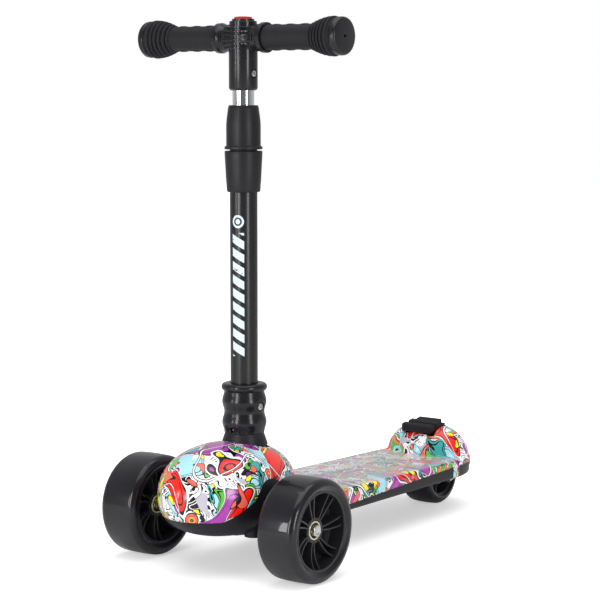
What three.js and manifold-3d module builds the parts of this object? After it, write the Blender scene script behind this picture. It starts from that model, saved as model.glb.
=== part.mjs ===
// Three-wheel kids' scooter: two wide front wheels that steer when the column leans, one
// small rear wheel under a domed tail, a moulded deck in two shells, and a height-adjusted
// T-bar. Lengths are in millimetres, +Z is up and the front of the scooter faces -Y.
// The origin is on the ground, under the middle of the body's length.
import * as THREE from 'three';
import { mergeVertices } from 'three/addons/utils/BufferGeometryUtils.js';
import Module from 'manifold-3d';

const wasm = await Module();
wasm.setup();

// Driving dimensions of the whole scooter
const frontWheelDiameter = 120;
const rearWheelDiameter = 80;
const frontTrack = 231.5;
const wheelbase = 437;
const noseReach = 30;
const tailReach = 4;
const stemSetback = 37.2;
const barHeight = 609.5;
const barLength = 286;
const outerTubeDiameter = 32;

// Clearances
const fitGap = 0.3;
const runningGap = 0.5;
const overrun = 20;

// Places that follow from the driving dimensions
const noseOverhang = frontWheelDiameter / 2 + noseReach;
const tailOverhang = rearWheelDiameter / 2 + tailReach;
const bodyLength = noseOverhang + wheelbase + tailOverhang;
const noseY = -bodyLength / 2;
const tailY = bodyLength / 2;
const frontAxleY = noseY + noseOverhang;
const rearAxleY = frontAxleY + wheelbase;
const stemY = frontAxleY + stemSetback;
const frontAxleZ = frontWheelDiameter / 2;
const rearAxleZ = rearWheelDiameter / 2;

// Materials
const colours = {
  print: new THREE.MeshStandardMaterial({ color: 0xc9c4cc, roughness: 0.25, metalness: 0 }),
  charcoal: new THREE.MeshStandardMaterial({ color: 0x333238, roughness: 0.5, metalness: 0 }),
  inner: new THREE.MeshStandardMaterial({ color: 0x26262a, roughness: 0.6, metalness: 0 }),
  rubber: new THREE.MeshStandardMaterial({ color: 0x2e2d31, roughness: 0.75, metalness: 0 }),
  tyre: new THREE.MeshStandardMaterial({ color: 0x2b2a30, roughness: 0.2, metalness: 0 }),
  paintedTube: new THREE.MeshStandardMaterial({ color: 0x1f1f22, roughness: 0.25, metalness: 0.3 }),
  chrome: new THREE.MeshStandardMaterial({ color: 0xe4e6ea, roughness: 0.08, metalness: 1 }),
  steel: new THREE.MeshStandardMaterial({ color: 0xb9bab8, roughness: 0.3, metalness: 1 }),
  zinc: new THREE.MeshStandardMaterial({ color: 0xc9bf8a, roughness: 0.35, metalness: 1 }),
  red: new THREE.MeshStandardMaterial({ color: 0xb3202c, roughness: 0.3, metalness: 0 }),
};

const scooter = new THREE.Group();

// Solids from three.js geometry

function solidFrom(geometry) {
  const bare = geometry.clone();
  bare.deleteAttribute('normal');
  bare.deleteAttribute('uv');
  const merged = mergeVertices(bare, 1e-4);
  const places = new Float32Array(merged.attributes.position.array);
  const faces = new Uint32Array(merged.index.array);
  let volume = 0;
  const corner = [new THREE.Vector3(), new THREE.Vector3(), new THREE.Vector3()];
  for (let face = 0; face < faces.length; face += 3) {
    corner.forEach((point, at) => point.fromArray(places, faces[face + at] * 3));
    volume += corner[0].dot(corner[1].clone().cross(corner[2]));
  }
  if (volume < 0) {
    for (let face = 0; face < faces.length; face += 3) {
      [faces[face], faces[face + 1]] = [faces[face + 1], faces[face]];
    }
  }
  const mesh = new wasm.Mesh({ numProp: 3, vertProperties: places, triVerts: faces });
  return new wasm.Manifold(mesh);
}

function addNode(name, solid, material) {
  const mesh = solid.getMesh();
  const geometry = new THREE.BufferGeometry();
  geometry.setAttribute('position', new THREE.BufferAttribute(new Float32Array(mesh.vertProperties), 3));
  geometry.setIndex(new THREE.BufferAttribute(new Uint32Array(mesh.triVerts), 1));
  geometry.computeVertexNormals();
  const node = new THREE.Mesh(geometry, material);
  node.name = name;
  scooter.add(node);
}

function joined(solids) {
  return solids.reduce((whole, solid) => whole.add(solid));
}

function moved(solid, x, y, z) {
  return solid.translate([x, y, z]);
}

// A revolved solid about X, Y or Z. Each profile point is [radius, place along the axis].
function turned(profile, axis, segments = 16) {
  const points = profile.map(([radius, along]) => new THREE.Vector2(radius, along));
  const first = points[0];
  const last = points[points.length - 1];
  const onAxis = first.x === 0 && last.x === 0;
  if (!onAxis) points.push(first.clone());
  const geometry = new THREE.LatheGeometry(points, segments);
  if (axis === 'x') geometry.rotateZ(-Math.PI / 2);
  if (axis === 'z') geometry.rotateX(Math.PI / 2);
  return solidFrom(geometry);
}

function rod(radius, from, to, axis, segments = 12) {
  return turned([[0, from], [radius, from], [radius, to], [0, to]], axis, segments);
}

function tube(innerRadius, outerRadius, from, to, axis, segments = 16) {
  const wall = [[innerRadius, from], [outerRadius, from], [outerRadius, to], [innerRadius, to]];
  return turned(wall, axis, segments);
}

function block(fromX, toX, fromY, toY, fromZ, toZ) {
  const geometry = new THREE.BoxGeometry(toX - fromX, toY - fromY, toZ - fromZ);
  geometry.translate((fromX + toX) / 2, (fromY + toY) / 2, (fromZ + toZ) / 2);
  return solidFrom(geometry);
}

// An outline drawn in the side view as [y, z] points, or a Shape, extruded along X
function sideProfile(outline, fromX, toX) {
  const shape = outline instanceof THREE.Shape ? outline : shapeOf(outline);
  const settings = { depth: toX - fromX, bevelEnabled: false, curveSegments: 5 };
  const geometry = new THREE.ExtrudeGeometry(shape, settings);
  geometry.translate(0, 0, fromX);
  const alongX = new THREE.Vector3(1, 0, 0);
  const alongY = new THREE.Vector3(0, 1, 0);
  const alongZ = new THREE.Vector3(0, 0, 1);
  geometry.applyMatrix4(new THREE.Matrix4().makeBasis(alongY, alongZ, alongX));
  return solidFrom(geometry);
}

// An outline drawn in plan as [x, y] points, or a Shape, extruded along Z
function planProfile(outline, fromZ, toZ) {
  const shape = outline instanceof THREE.Shape ? outline : shapeOf(outline);
  const settings = { depth: toZ - fromZ, bevelEnabled: false, curveSegments: 5 };
  const geometry = new THREE.ExtrudeGeometry(shape, settings);
  geometry.translate(0, 0, fromZ);
  return solidFrom(geometry);
}

function shapeOf(outline) {
  return new THREE.Shape(outline.map(([across, up]) => new THREE.Vector2(across, up)));
}

// A round-ended slot as a Shape: half-lengths to the ends of the straight part and its radius
function slotShape(centreX, centreY, halfX, halfY) {
  const radius = Math.min(halfX, halfY);
  const reachX = halfX - radius;
  const reachY = halfY - radius;
  const shape = new THREE.Shape();
  shape.moveTo(centreX + halfX, centreY - reachY);
  shape.lineTo(centreX + halfX, centreY + reachY);
  shape.absarc(centreX + reachX, centreY + reachY, radius, 0, Math.PI / 2);
  shape.absarc(centreX - reachX, centreY + reachY, radius, Math.PI / 2, Math.PI);
  shape.absarc(centreX - reachX, centreY - reachY, radius, Math.PI, Math.PI * 1.5);
  shape.absarc(centreX + reachX, centreY - reachY, radius, Math.PI * 1.5, Math.PI * 2);
  return shape;
}

// A hexagonal bolt head or nut along X, Y or Z, by its size across the flats
function hexagon(acrossFlats, from, to, axis) {
  return rod(acrossFlats / Math.sqrt(3), from, to, axis, 6);
}

// Body hull: one smooth form made of the front dome, the deck slab and the tail dome.
// Both shells are the wall of this form, split along one parting line.
const shellWall = 3;
const frontDome = {
  setback: 6,
  rise: 28,
  half: 71,
  rear: 94,
  up: 57,
  down: 48,
  planRound: 1.95,
  sideRound: 2.3,
  rearDrop: 5,
};
frontDome.y = frontAxleY + frontDome.setback;
frontDome.z = frontAxleZ + frontDome.rise;
frontDome.front = frontDome.y - noseY;
const tailDome = {
  lead: 5.2,
  rise: 21,
  half: 60.4,
  frontCover: -3.9,
  topCover: 8,
  down: 16,
  planRound: 1.85,
  sideRound: 2.17,
  rearDrop: 0,
};
tailDome.y = rearAxleY - tailDome.lead;
tailDome.z = rearAxleZ + tailDome.rise;
tailDome.front = rearWheelDiameter / 2 + tailDome.frontCover;
tailDome.up = rearWheelDiameter / 2 + tailDome.topCover;
tailDome.rear = tailY - tailDome.y;
const deckSlab = {
  half: 66.5,
  frontThickness: 33,
  rearThickness: 26,
  bottomRise: 4,
  squareness: 8,
  innerSquareness: 4,
  startSetback: 10,
  frontRound: 70,
  rearRound: 86,
  planRound: 2.3,
};
deckSlab.bottom = rearAxleZ + deckSlab.bottomRise;
deckSlab.topAtFront = deckSlab.bottom + deckSlab.frontThickness;
deckSlab.topAtRear = deckSlab.bottom + deckSlab.rearThickness;
const deckStartY = frontAxleY - deckSlab.startSetback;
const deckFrontY = deckStartY + deckSlab.frontRound;
const deckRearY = tailY - deckSlab.rearRound;
const frontFillet = 12;
const tailFillet = 6;
const halvings = 26;
const deckStepShare = 0.25;
const tailStepShare = 0.8;

function smoothStep(from, to, at) {
  const share = Math.min(Math.max((at - from) / (to - from), 0), 1);
  return share * share * (3 - 2 * share);
}

function rounded(share, roundness) {
  return Math.pow(Math.max(1 - Math.pow(Math.abs(share), roundness), 0), 1 / roundness);
}

function norm(a, b, roundness) {
  return Math.pow(Math.pow(Math.abs(a), roundness) + Math.pow(Math.abs(b), roundness), 1 / roundness);
}

// Smaller of two distances, with a fillet of the given reach where they meet
function blend(a, b, reach) {
  if (reach === 0) return Math.min(a, b);
  const near = Math.max(reach - Math.abs(a - b), 0);
  return Math.min(a, b) - near * near / (4 * reach);
}

function domeDistance(dome, x, y, z, inset) {
  const along = y - dome.y;
  const rise = z - dome.z;
  const reach = (along < 0 ? dome.front : dome.rear) - inset;
  const drop = dome.down * (1 + dome.rearDrop * smoothStep(dome.y, dome.y + dome.rear / 2, y));
  const height = (rise > 0 ? dome.up : drop) - inset;
  const plan = norm(x / (dome.half - inset), along / reach, dome.planRound);
  const size = norm(plan, rise / height, dome.sideRound);
  return Math.hypot(x, along, rise) * (1 - 1 / size);
}

function deckTop(y) {
  const share = (y - deckFrontY) / (deckRearY - deckFrontY);
  return deckSlab.topAtFront + (deckSlab.topAtRear - deckSlab.topAtFront) * share;
}

function deckHalfWidth(y, inset) {
  const half = deckSlab.half - inset;
  const roundness = deckSlab.planRound;
  if (y < deckFrontY) return half * rounded((deckFrontY - y) / (deckSlab.frontRound - inset), roundness);
  if (y > deckRearY) return half * rounded((y - deckRearY) / (deckSlab.rearRound - inset), roundness);
  return half;
}

function deckMiddle(y) {
  return (deckTop(y) + deckSlab.bottom) / 2;
}

function deckDistance(x, y, z, inset) {
  const half = deckHalfWidth(y, inset);
  const rise = z - deckMiddle(y);
  const height = (deckTop(y) - deckSlab.bottom) / 2 - inset;
  if (half <= 0) return Math.hypot(x, rise) + deckSlab.half;
  const squareness = inset === 0 ? deckSlab.squareness : deckSlab.innerSquareness;
  return Math.hypot(x, rise) * (1 - 1 / norm(x / half, rise / height, squareness));
}

// Inside the wall the domes meet the deck in a sharp corner
function hullDistance(x, y, z, inset) {
  const deck = deckDistance(x, y, z, inset);
  const filletShare = inset === 0 ? 1 : 0;
  const withTail = blend(deck, domeDistance(tailDome, x, y, z, inset), tailFillet * filletShare);
  const whole = blend(withTail, domeDistance(frontDome, x, y, z, inset), frontFillet * filletShare);
  const frontBottom = frontDome.z - frontDome.down;
  const deckShare = smoothStep(frontDome.y, frontDome.y + frontDome.rear, y);
  const floor = frontBottom + (deckSlab.bottom - frontBottom) * deckShare + inset;
  return Math.max(whole, floor - z);
}

// Distance from a point on the middle plane to the hull's surface, along one direction
function hullReach(y, fromZ, acrossX, upZ, inset) {
  let inside = 0;
  let outside = frontTrack;
  for (let halving = 0; halving < halvings; halving += 1) {
    const middle = (inside + outside) / 2;
    if (hullDistance(middle * acrossX, y, fromZ + middle * upZ, inset) < 0) inside = middle;
    else outside = middle;
  }
  return inside;
}

// One ring of the hull at station y. Along the deck its first rays gather at the corners of
// the slab, and the rest are spread evenly over the dome above and the floor below.
const cornerShares = [0, 0.7, 1, 1.3];

function quarterAngles(y, quarterSteps, upwards) {
  const deckShare = smoothStep(frontDome.y, frontDome.y + frontDome.rear, y);
  const height = upwards ? deckTop(y) - deckMiddle(y) : deckMiddle(y) - deckSlab.bottom;
  const corner = Math.atan2(height, Math.max(deckHalfWidth(y, 0), height));
  const angles = [];
  for (let step = 0; step < quarterSteps; step += 1) {
    const even = step / quarterSteps * Math.PI / 2;
    const last = cornerShares.length - 1;
    const edge = corner * cornerShares[last];
    const gathered = step <= last
      ? corner * cornerShares[step]
      : edge + (Math.PI / 2 - edge) * (step - last) / (quarterSteps - last);
    angles.push(even + (gathered - even) * deckShare);
  }
  return angles;
}

function hullRing(y, inset, quarterSteps) {
  const deckShare = smoothStep(frontDome.y + frontDome.rear / 2, frontDome.y + frontDome.rear, y);
  const centreZ = frontDome.z + (deckMiddle(y) - frontDome.z) * deckShare;
  const up = quarterAngles(y, quarterSteps, true);
  const down = quarterAngles(y, quarterSteps, false);
  const angles = [
    ...up,
    Math.PI / 2,
    ...up.slice(1).reverse().map((angle) => Math.PI - angle),
    ...down.map((angle) => Math.PI + angle),
    Math.PI * 1.5,
    ...down.slice(1).reverse().map((angle) => Math.PI * 2 - angle),
  ];
  return angles.map((angle) => {
    const reach = hullReach(y, centreZ, Math.cos(angle), Math.sin(angle), inset);
    return [reach * Math.cos(angle), y, centreZ + reach * Math.sin(angle)];
  });
}

function hullStations(inset, steps) {
  const stations = [];
  const nose = frontDome.front - inset;
  for (let step = 1; step <= steps; step += 1) {
    stations.push(frontDome.y - nose * Math.cos(step / steps * Math.PI / 2));
  }
  for (let step = 1; step <= steps; step += 1) {
    stations.push(frontDome.y + frontDome.rear * Math.sin(step / steps * Math.PI / 2));
  }
  const afterDome = frontDome.y + frontDome.rear + frontFillet;
  const beforeTail = tailDome.y - tailDome.front - tailFillet;
  const deckSteps = Math.ceil(steps * deckStepShare);
  for (let step = 0; step <= deckSteps; step += 1) {
    stations.push(afterDome + (beforeTail - afterDome) * step / deckSteps);
  }
  const tailMiddle = tailDome.y;
  const tailSteps = Math.round(steps * tailStepShare);
  for (let step = 1; step <= tailSteps; step += 1) {
    stations.push(tailMiddle - tailDome.front * Math.cos(step / tailSteps * Math.PI / 2));
  }
  for (let step = 1; step < tailSteps; step += 1) {
    stations.push(tailMiddle + (tailDome.rear - inset) * Math.sin(step / tailSteps * Math.PI / 2));
  }
  return stations;
}

function hull(inset, steps, quarterSteps) {
  const rings = hullStations(inset, steps).map((y) => hullRing(y, inset, quarterSteps));
  const count = rings[0].length;
  const places = [];
  const faces = [];
  rings.forEach((ring) => ring.forEach((point) => places.push(...point)));
  for (let row = 0; row + 1 < rings.length; row += 1) {
    for (let at = 0; at < count; at += 1) {
      const next = (at + 1) % count;
      const here = row * count;
      const there = here + count;
      faces.push(here + at, there + at, here + next, here + next, there + at, there + next);
    }
  }
  const nosePole = rings.length * count;
  const tailPole = nosePole + 1;
  places.push(0, noseY + inset, frontDome.z);
  places.push(0, tailY - inset, deckMiddle(tailY));
  const lastRow = (rings.length - 1) * count;
  for (let at = 0; at < count; at += 1) {
    const next = (at + 1) % count;
    faces.push(nosePole, at, next);
    faces.push(tailPole, lastRow + next, lastRow + at);
  }
  const geometry = new THREE.BufferGeometry();
  geometry.setAttribute('position', new THREE.BufferAttribute(new Float32Array(places), 3));
  geometry.setIndex(faces);
  return solidFrom(geometry);
}

// Parting line between the printed cover and the black base, in the side view.
// It rises into an arch round each knuckle, and near the tail it drops in a tab.
const parting = {
  noseRise: 8,
  frontFlange: 9,
  rearFlange: 17.5,
  archStart: 60,
  archFoot: 8,
  archShoulder: 27,
  archShoulderRise: 22,
  archNeck: 15,
  archNeckRise: 38,
  archTop: 6,
  archTopRise: 43,
  tabFront: -45,
  tabRear: -30,
  tabInner: 44,
};
parting.nose = frontAxleZ + parting.noseRise;
parting.deckFront = deckSlab.bottom + parting.frontFlange;
parting.deckRear = deckSlab.bottom + parting.rearFlange;
const belowAll = -overrun;
const hullBeyond = bodyLength / 2 + overrun;
const partingOutline = [
  [-hullBeyond, belowAll],
  [hullBeyond, belowAll],
  [hullBeyond, parting.deckRear],
  [rearAxleY + parting.tabFront, parting.deckRear],
  [frontAxleY + parting.archStart * 2, parting.deckFront],
  [frontAxleY + parting.archStart, parting.deckFront + parting.archFoot],
  [frontAxleY + parting.archShoulder, parting.nose + parting.archShoulderRise],
  [frontAxleY + parting.archNeck, parting.nose + parting.archNeckRise],
  [frontAxleY + parting.archTop, parting.nose + parting.archTopRise],
  [frontAxleY - parting.archTop, parting.nose + parting.archTopRise],
  [frontAxleY - parting.archNeck, parting.nose + parting.archNeckRise],
  [frontAxleY - parting.archShoulder, parting.nose + parting.archShoulderRise],
  [frontAxleY - parting.archStart, parting.nose],
  [-hullBeyond, parting.nose],
];
const sideReach = frontTrack / 2;
const tabs = joined([-1, 1].map((side) => block(
  Math.min(side * parting.tabInner, side * sideReach), Math.max(side * parting.tabInner, side * sideReach),
  rearAxleY + parting.tabFront, rearAxleY + parting.tabRear, belowAll, frontDome.z)));
const belowParting = sideProfile(partingOutline, -sideReach, sideReach).subtract(tabs);
const belowPartingGrown = joined([
  belowParting,
  moved(belowParting, 0, fitGap, 0),
  moved(belowParting, 0, -fitGap, 0),
  moved(belowParting, 0, 0, fitGap),
]);

// Front mechanism: kingpins, knuckles, tie rod and the lean pivot
const kingpin = {
  x: 42,
  radius: 4,
  headFlats: 13,
  headHeight: 5,
  headRoomRadius: 7.8,
  bossRadius: 10.5,
  bossDrop: 18.5,
  bossHeight: 7.5,
};
kingpin.bossBottom = frontAxleZ - kingpin.bossDrop;
const bracket = { rise: 16, thickness: 5, kingpinBoss: 7, bridgeHalf: 54, bridgeDepth: 13 };
bracket.bottom = frontAxleZ + bracket.rise;
const bracketTop = bracket.bottom + bracket.thickness;
const plate = { half: 37, front: 28, rear: 36, windowHalf: 16 };
const pivot = {
  rise: 58,
  radius: 4,
  earThickness: 6,
  earHalf: 12,
  headFlats: 13,
  headHeight: 5,
  nutHeight: 6.5,
  threadEnd: 1,
};
pivot.z = frontAxleZ + pivot.rise;
const headNeckRadius = 19;
const earInner = headNeckRadius + runningGap * 2;
const knuckle = {
  barrelRadius: 11,
  barrelGap: 1,
  armRadius: 8.5,
  armGap: 1.5,
  armSwing: 7,
  armHeight: 6,
  armHalf: 7,
  pegRadius: 3,
};
const tieRod = { drop: 2, thickness: 6, half: 52, depth: 8, slotPlay: 1, railHalf: 12 };
tieRod.z = frontAxleZ - tieRod.drop;
const rodBottom = tieRod.z - tieRod.thickness / 2;
const rodTop = tieRod.z + tieRod.thickness / 2;
const kingpinBossTop = kingpin.bossBottom + kingpin.bossHeight;
const knuckleBottom = kingpinBossTop + fitGap;
const knuckleTop = bracket.bottom - fitGap;
const postRadius = 6;
const railThickness = 6;
const frontPost = { x: 24, lead: 20 };
const rearPost = { x: 30, setback: 27 };
const posts = [
  [frontPost.x, frontAxleY - frontPost.lead],
  [rearPost.x, stemY + rearPost.setback],
];

// Wheels
const bearing = { radius: 11, width: 7, bore: 4.3, sealInner: 6.3, sealOuter: 9.4, sealDepth: 0.6 };
const axleBoltRadius = 4;
const axleHead = { flats: 13, height: 3.4, room: 1.5 };
const frontWheel = {
  radius: frontWheelDiameter / 2,
  width: 52.5,
  shoulder: 8.3,
  tyreDepth: 14,
  rimWidth: 47.4,
  rimWall: 3,
  webThickness: 4,
  bossRadius: 15,
  bossWidth: 27.6,
  ribPairs: 7,
  ribSpread: 0.12,
  ribSweep: 0.3,
  ribThickness: 1.5,
  dishHalf: 20.1,
  segments: 32,
  hubSegments: 20,
};
const rearWheel = {
  radius: rearWheelDiameter / 2,
  width: 46,
  shoulder: 9,
  tyreDepth: 12,
  rimWidth: 39,
  rimWall: 2.5,
  webThickness: 4,
  bossRadius: 14.5,
  bossWidth: 32,
  ribPairs: 3,
  ribSpread: 0.2,
  ribSweep: 0.35,
  ribThickness: 1.8,
  dishHalf: 16.5,
  segments: 26,
  hubSegments: 16,
};
frontWheel.rimRadius = frontWheel.radius - frontWheel.tyreDepth;
rearWheel.rimRadius = rearWheel.radius - rearWheel.tyreDepth;

// Tail: fork plates, axle and brake
const fork = {
  inner: 27,
  thickness: 5,
  axleBoss: 10,
  shoulder: 16,
  front: 60,
  rear: 22,
  frontRise: 6,
  rearRise: 9,
};
const bossCornerShares = [0.8, 0.6];
const wheelWell = { frontRoom: 6, rearRoom: 1.2, depth: 9 };
wheelWell.half = fork.inner;
wheelWell.front = rearWheel.radius + wheelWell.frontRoom;
wheelWell.rear = rearWheel.radius + wheelWell.rearRoom;
wheelWell.top = deckSlab.bottom + wheelWell.depth;
const brake = {
  pivotRoom: 3,
  pivotRise: 20,
  pinRadius: 2.5,
  barrelRadius: 4.6,
  armHalf: 11.5,
  armGap: 4.7,
  armThickness: 2.6,
  armEnd: 62,
  shoeGap: 3.3,
  shoeStart: 83,
  shoeEnd: 97,
  postFront: 18,
  postRear: 2,
  postDip: 1,
  postInset: 1,
  windowRise: 15,
  padHalf: 22,
  padFront: 33,
  padRear: 4,
  padThickness: 4,
  padRiseFront: 23.4,
  padRiseRear: 29,
};
const rearWheelTop = rearAxleZ + rearWheel.radius;
brake.pivotSetback = rearWheel.radius + brake.pivotRoom;
brake.pivotZ = rearAxleZ + brake.pivotRise;
brake.postBottom = rearWheelTop - brake.postDip;
brake.windowBottom = rearWheelTop + brake.windowRise;
brake.padTopFront = rearWheelTop + brake.padRiseFront;
brake.padTopRear = rearWheelTop + brake.padRiseRear;
const brakePivotY = rearAxleY - brake.pivotSetback;
const brakeWindow = { side: 2, front: 11, rear: 4.5 };

function deckCover(wall) {
  const columnHole = { acrossX: 30.5, alongY: 28.4 };
  const opening = rod(columnHole.acrossX, frontDome.z, frontDome.z + frontDome.up + overrun, 'z', 28);
  const openingOval = opening.scale([1, columnHole.alongY / columnHole.acrossX, 1]);
  const window = block(
    -brake.padHalf - brakeWindow.side, brake.padHalf + brakeWindow.side,
    rearAxleY - brake.postFront - brakeWindow.front, rearAxleY + brake.padRear + brakeWindow.rear,
    brake.windowBottom, tailDome.z + tailDome.up + overrun,
  );
  return wall.subtract(belowPartingGrown).subtract(moved(openingOval, 0, stemY, 0)).subtract(window);
}

function deckBase(wall, innerHull) {
  const bossBottom = kingpin.bossBottom;
  let base = wall.intersect(belowParting);
  for (const side of [-1, 1]) {
    const boss = rod(kingpin.bossRadius, bossBottom, kingpinBossTop, 'z');
    base = base.add(moved(boss, side * kingpin.x, frontAxleY, 0));
    for (const [postX, postY] of posts) {
      const postFoot = Math.min(bossBottom, deckSlab.bottom);
      const upright = rod(postRadius, postFoot, bracket.bottom - fitGap, 'z', 8);
      const post = moved(upright, side * postX, postY, 0);
      base = base.add(post.intersect(innerHull));
      base = base.add(post.intersect(wall).intersect(belowParting));
    }
    const railX = side * (kingpin.x / 2);
    const rail = block(
      railX - railThickness / 2, railX + railThickness / 2,
      stemY - tieRod.railHalf, stemY + tieRod.railHalf, bossBottom, rodBottom - fitGap);
    base = base.add(rail);
    const armRoom = knuckle.armRadius + knuckle.armGap;
    const armOpening = slotShape(frontAxleY, frontAxleZ, knuckle.armRadius + knuckle.armSwing, armRoom);
    const openingFrom = Math.min(side * kingpin.x, side * sideReach);
    const openingTo = Math.max(side * kingpin.x, side * sideReach);
    base = base.subtract(sideProfile(armOpening, openingFrom, openingTo));
    const barrelRoom = rod(knuckle.barrelRadius + knuckle.barrelGap, kingpinBossTop, bracket.bottom, 'z', 16);
    base = base.subtract(moved(barrelRoom, side * kingpin.x, frontAxleY, 0));
    const bore = rod(kingpin.radius + fitGap, belowAll, kingpinBossTop + overrun, 'z');
    const headRoomTop = bossBottom + kingpin.headHeight + fitGap;
    const headRoom = rod(kingpin.headRoomRadius, belowAll, headRoomTop, 'z');
    base = base.subtract(moved(bore.add(headRoom), side * kingpin.x, frontAxleY, 0));
  }
  const well = block(
    -wheelWell.half, wheelWell.half, rearAxleY - wheelWell.front, rearAxleY + wheelWell.rear,
    belowAll, wheelWell.top);
  base = base.subtract(well);
  const headReach = axleHead.flats / 2 + axleHead.room;
  base = base.subtract(block(
    -fork.inner - overrun, fork.inner + overrun, rearAxleY - headReach, rearAxleY + headReach,
    belowAll, rearAxleZ + headReach));
  const [bossReach, bossDrop] = bossCornerShares.map((share) => fork.axleBoss * share);
  const plateOutline = [
    [rearAxleY - fork.front, deckSlab.bottom],
    [rearAxleY - fork.shoulder, deckSlab.bottom],
    [rearAxleY - bossReach, rearAxleZ - bossDrop],
    [rearAxleY, rearAxleZ - fork.axleBoss],
    [rearAxleY + bossReach, rearAxleZ - bossDrop],
    [rearAxleY + fork.rear, deckSlab.bottom],
    [rearAxleY + fork.rear, deckSlab.bottom + fork.rearRise],
    [brakePivotY + brake.barrelRadius, brake.pivotZ],
    [brakePivotY, brake.pivotZ + brake.barrelRadius],
    [brakePivotY - brake.barrelRadius, brake.pivotZ],
    [rearAxleY - fork.front, deckSlab.bottom + fork.frontRise],
  ];
  for (const side of [-1, 1]) {
    const near = side * fork.inner;
    const far = side * (fork.inner + fork.thickness);
    base = base.add(sideProfile(plateOutline, Math.min(near, far), Math.max(near, far)));
  }
  const plateReach = fork.inner + fork.thickness + overrun;
  const axleHole = rod(axleBoltRadius + fitGap, -plateReach, plateReach, 'x');
  const pinHole = rod(brake.pinRadius + fitGap, -plateReach, plateReach, 'x');
  base = base.subtract(moved(axleHole, 0, rearAxleY, rearAxleZ));
  return base.subtract(moved(pinHole, 0, brakePivotY, brake.pivotZ));
}

const outerHull = hull(0, 7, 8);
const innerHull = hull(shellWall, 7, 6);
const hullWall = outerHull.subtract(innerHull);
addNode('deck_cover', deckCover(hullWall), colours.print);
addNode('deck_base', deckBase(hullWall, innerHull), colours.charcoal);

// Pivot bracket: a moulded plate that bridges the kingpins and carries the lean pivot's ears
function pivotBracket() {
  let solid = block(
    -bracket.bridgeHalf, bracket.bridgeHalf,
    frontAxleY - bracket.bridgeDepth, frontAxleY + bracket.bridgeDepth,
    bracket.bottom, bracketTop);
  solid = solid.add(block(
    -plate.half, plate.half, frontAxleY - plate.front, stemY + plate.rear, bracket.bottom, bracketTop));
  for (const side of [-1, 1]) {
    const boss = rod(kingpin.bossRadius, bracket.bottom, bracketTop + bracket.kingpinBoss, 'z');
    solid = solid.add(moved(boss, side * kingpin.x, frontAxleY, 0));
    const earNear = stemY + side * earInner;
    const earFar = stemY + side * (earInner + pivot.earThickness);
    const earFrom = Math.min(earNear, earFar);
    const earTo = Math.max(earNear, earFar);
    solid = solid.add(block(-pivot.earHalf, pivot.earHalf, earFrom, earTo, bracket.bottom, pivot.z));
    solid = solid.add(moved(rod(pivot.earHalf, earFrom, earTo, 'y'), 0, 0, pivot.z));
  }
  solid = solid.subtract(block(
    -plate.windowHalf, plate.windowHalf, stemY - plate.windowHalf, stemY + plate.windowHalf,
    bracket.bottom - overrun, bracketTop + overrun));
  const pinHole = rod(pivot.radius + fitGap, stemY - plate.rear, stemY + plate.rear, 'y');
  solid = solid.subtract(moved(pinHole, 0, 0, pivot.z));
  for (const side of [-1, 1]) {
    const hole = rod(kingpin.radius + fitGap, bracket.bottom - overrun, bracketTop + overrun, 'z');
    solid = solid.subtract(moved(hole, side * kingpin.x, frontAxleY, 0));
  }
  return solid;
}
addNode('pivot_bracket', pivotBracket(), colours.inner);

function addKingpin(name, side) {
  const headTop = kingpin.bossBottom + kingpin.headHeight;
  const shank = rod(kingpin.radius, headTop, bracketTop + bracket.kingpinBoss, 'z');
  const head = hexagon(kingpin.headFlats, kingpin.bossBottom, headTop, 'z');
  addNode(name, moved(shank.add(head), side * kingpin.x, frontAxleY, 0), colours.steel);
}
addKingpin('left_kingpin', 1);
addKingpin('right_kingpin', -1);

function addLeanPin() {
  const earOuter = earInner + pivot.earThickness + fitGap;
  const shankEnd = stemY + earOuter + pivot.nutHeight + pivot.threadEnd;
  const shank = rod(pivot.radius, stemY - earOuter, shankEnd, 'y');
  const head = hexagon(pivot.headFlats, stemY - earOuter - pivot.headHeight, stemY - earOuter, 'y');
  addNode('lean_pin', moved(shank.add(head), 0, 0, pivot.z), colours.steel);
  const nut = hexagon(pivot.headFlats, stemY + earOuter, stemY + earOuter + pivot.nutHeight, 'y');
  const thread = rod(pivot.radius + fitGap, stemY, shankEnd + overrun, 'y');
  addNode('lean_pin_nut', moved(nut.subtract(thread), 0, 0, pivot.z), colours.steel);
}
addLeanPin();

// Steering head: skirt, spigot for the stem socket, lean pivot block and tie-rod lever
const socketRise = 93.4;
const socketBottom = frontAxleZ + socketRise;
const head = {
  skirtDrop: 14.9,
  skirtRadius: 27.25,
  skirtEdge: 1.2,
  ringDrop: 3.2,
  ringRadius: 23.2,
  flareRadius: 23.8,
  spigotGap: 0.4,
  spigotHeight: 22.6,
  neckDrop: 15,
  wingHalf: 32,
  wingDepth: 9,
  wingThickness: 6,
  leverHalfX: 2.6,
  leverHalfY: 4.5,
  tipRadius: 4,
};
head.skirtBottom = socketBottom - head.skirtDrop;
head.ringBottom = socketBottom - head.ringDrop;
head.spigotTop = socketBottom + head.spigotHeight;
head.neckBottom = pivot.z - head.neckDrop;
head.spigotRadius = outerTubeDiameter / 2 - head.spigotGap;
const snap = {
  rise: 4.4,
  radius: 2.8,
  tipRadius: 2,
  tipLength: 1.4,
  crown: 0.5,
  tip: 19.2,
  tail: 8,
  boreDepth: 5,
};
snap.z = socketBottom + snap.rise;

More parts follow.
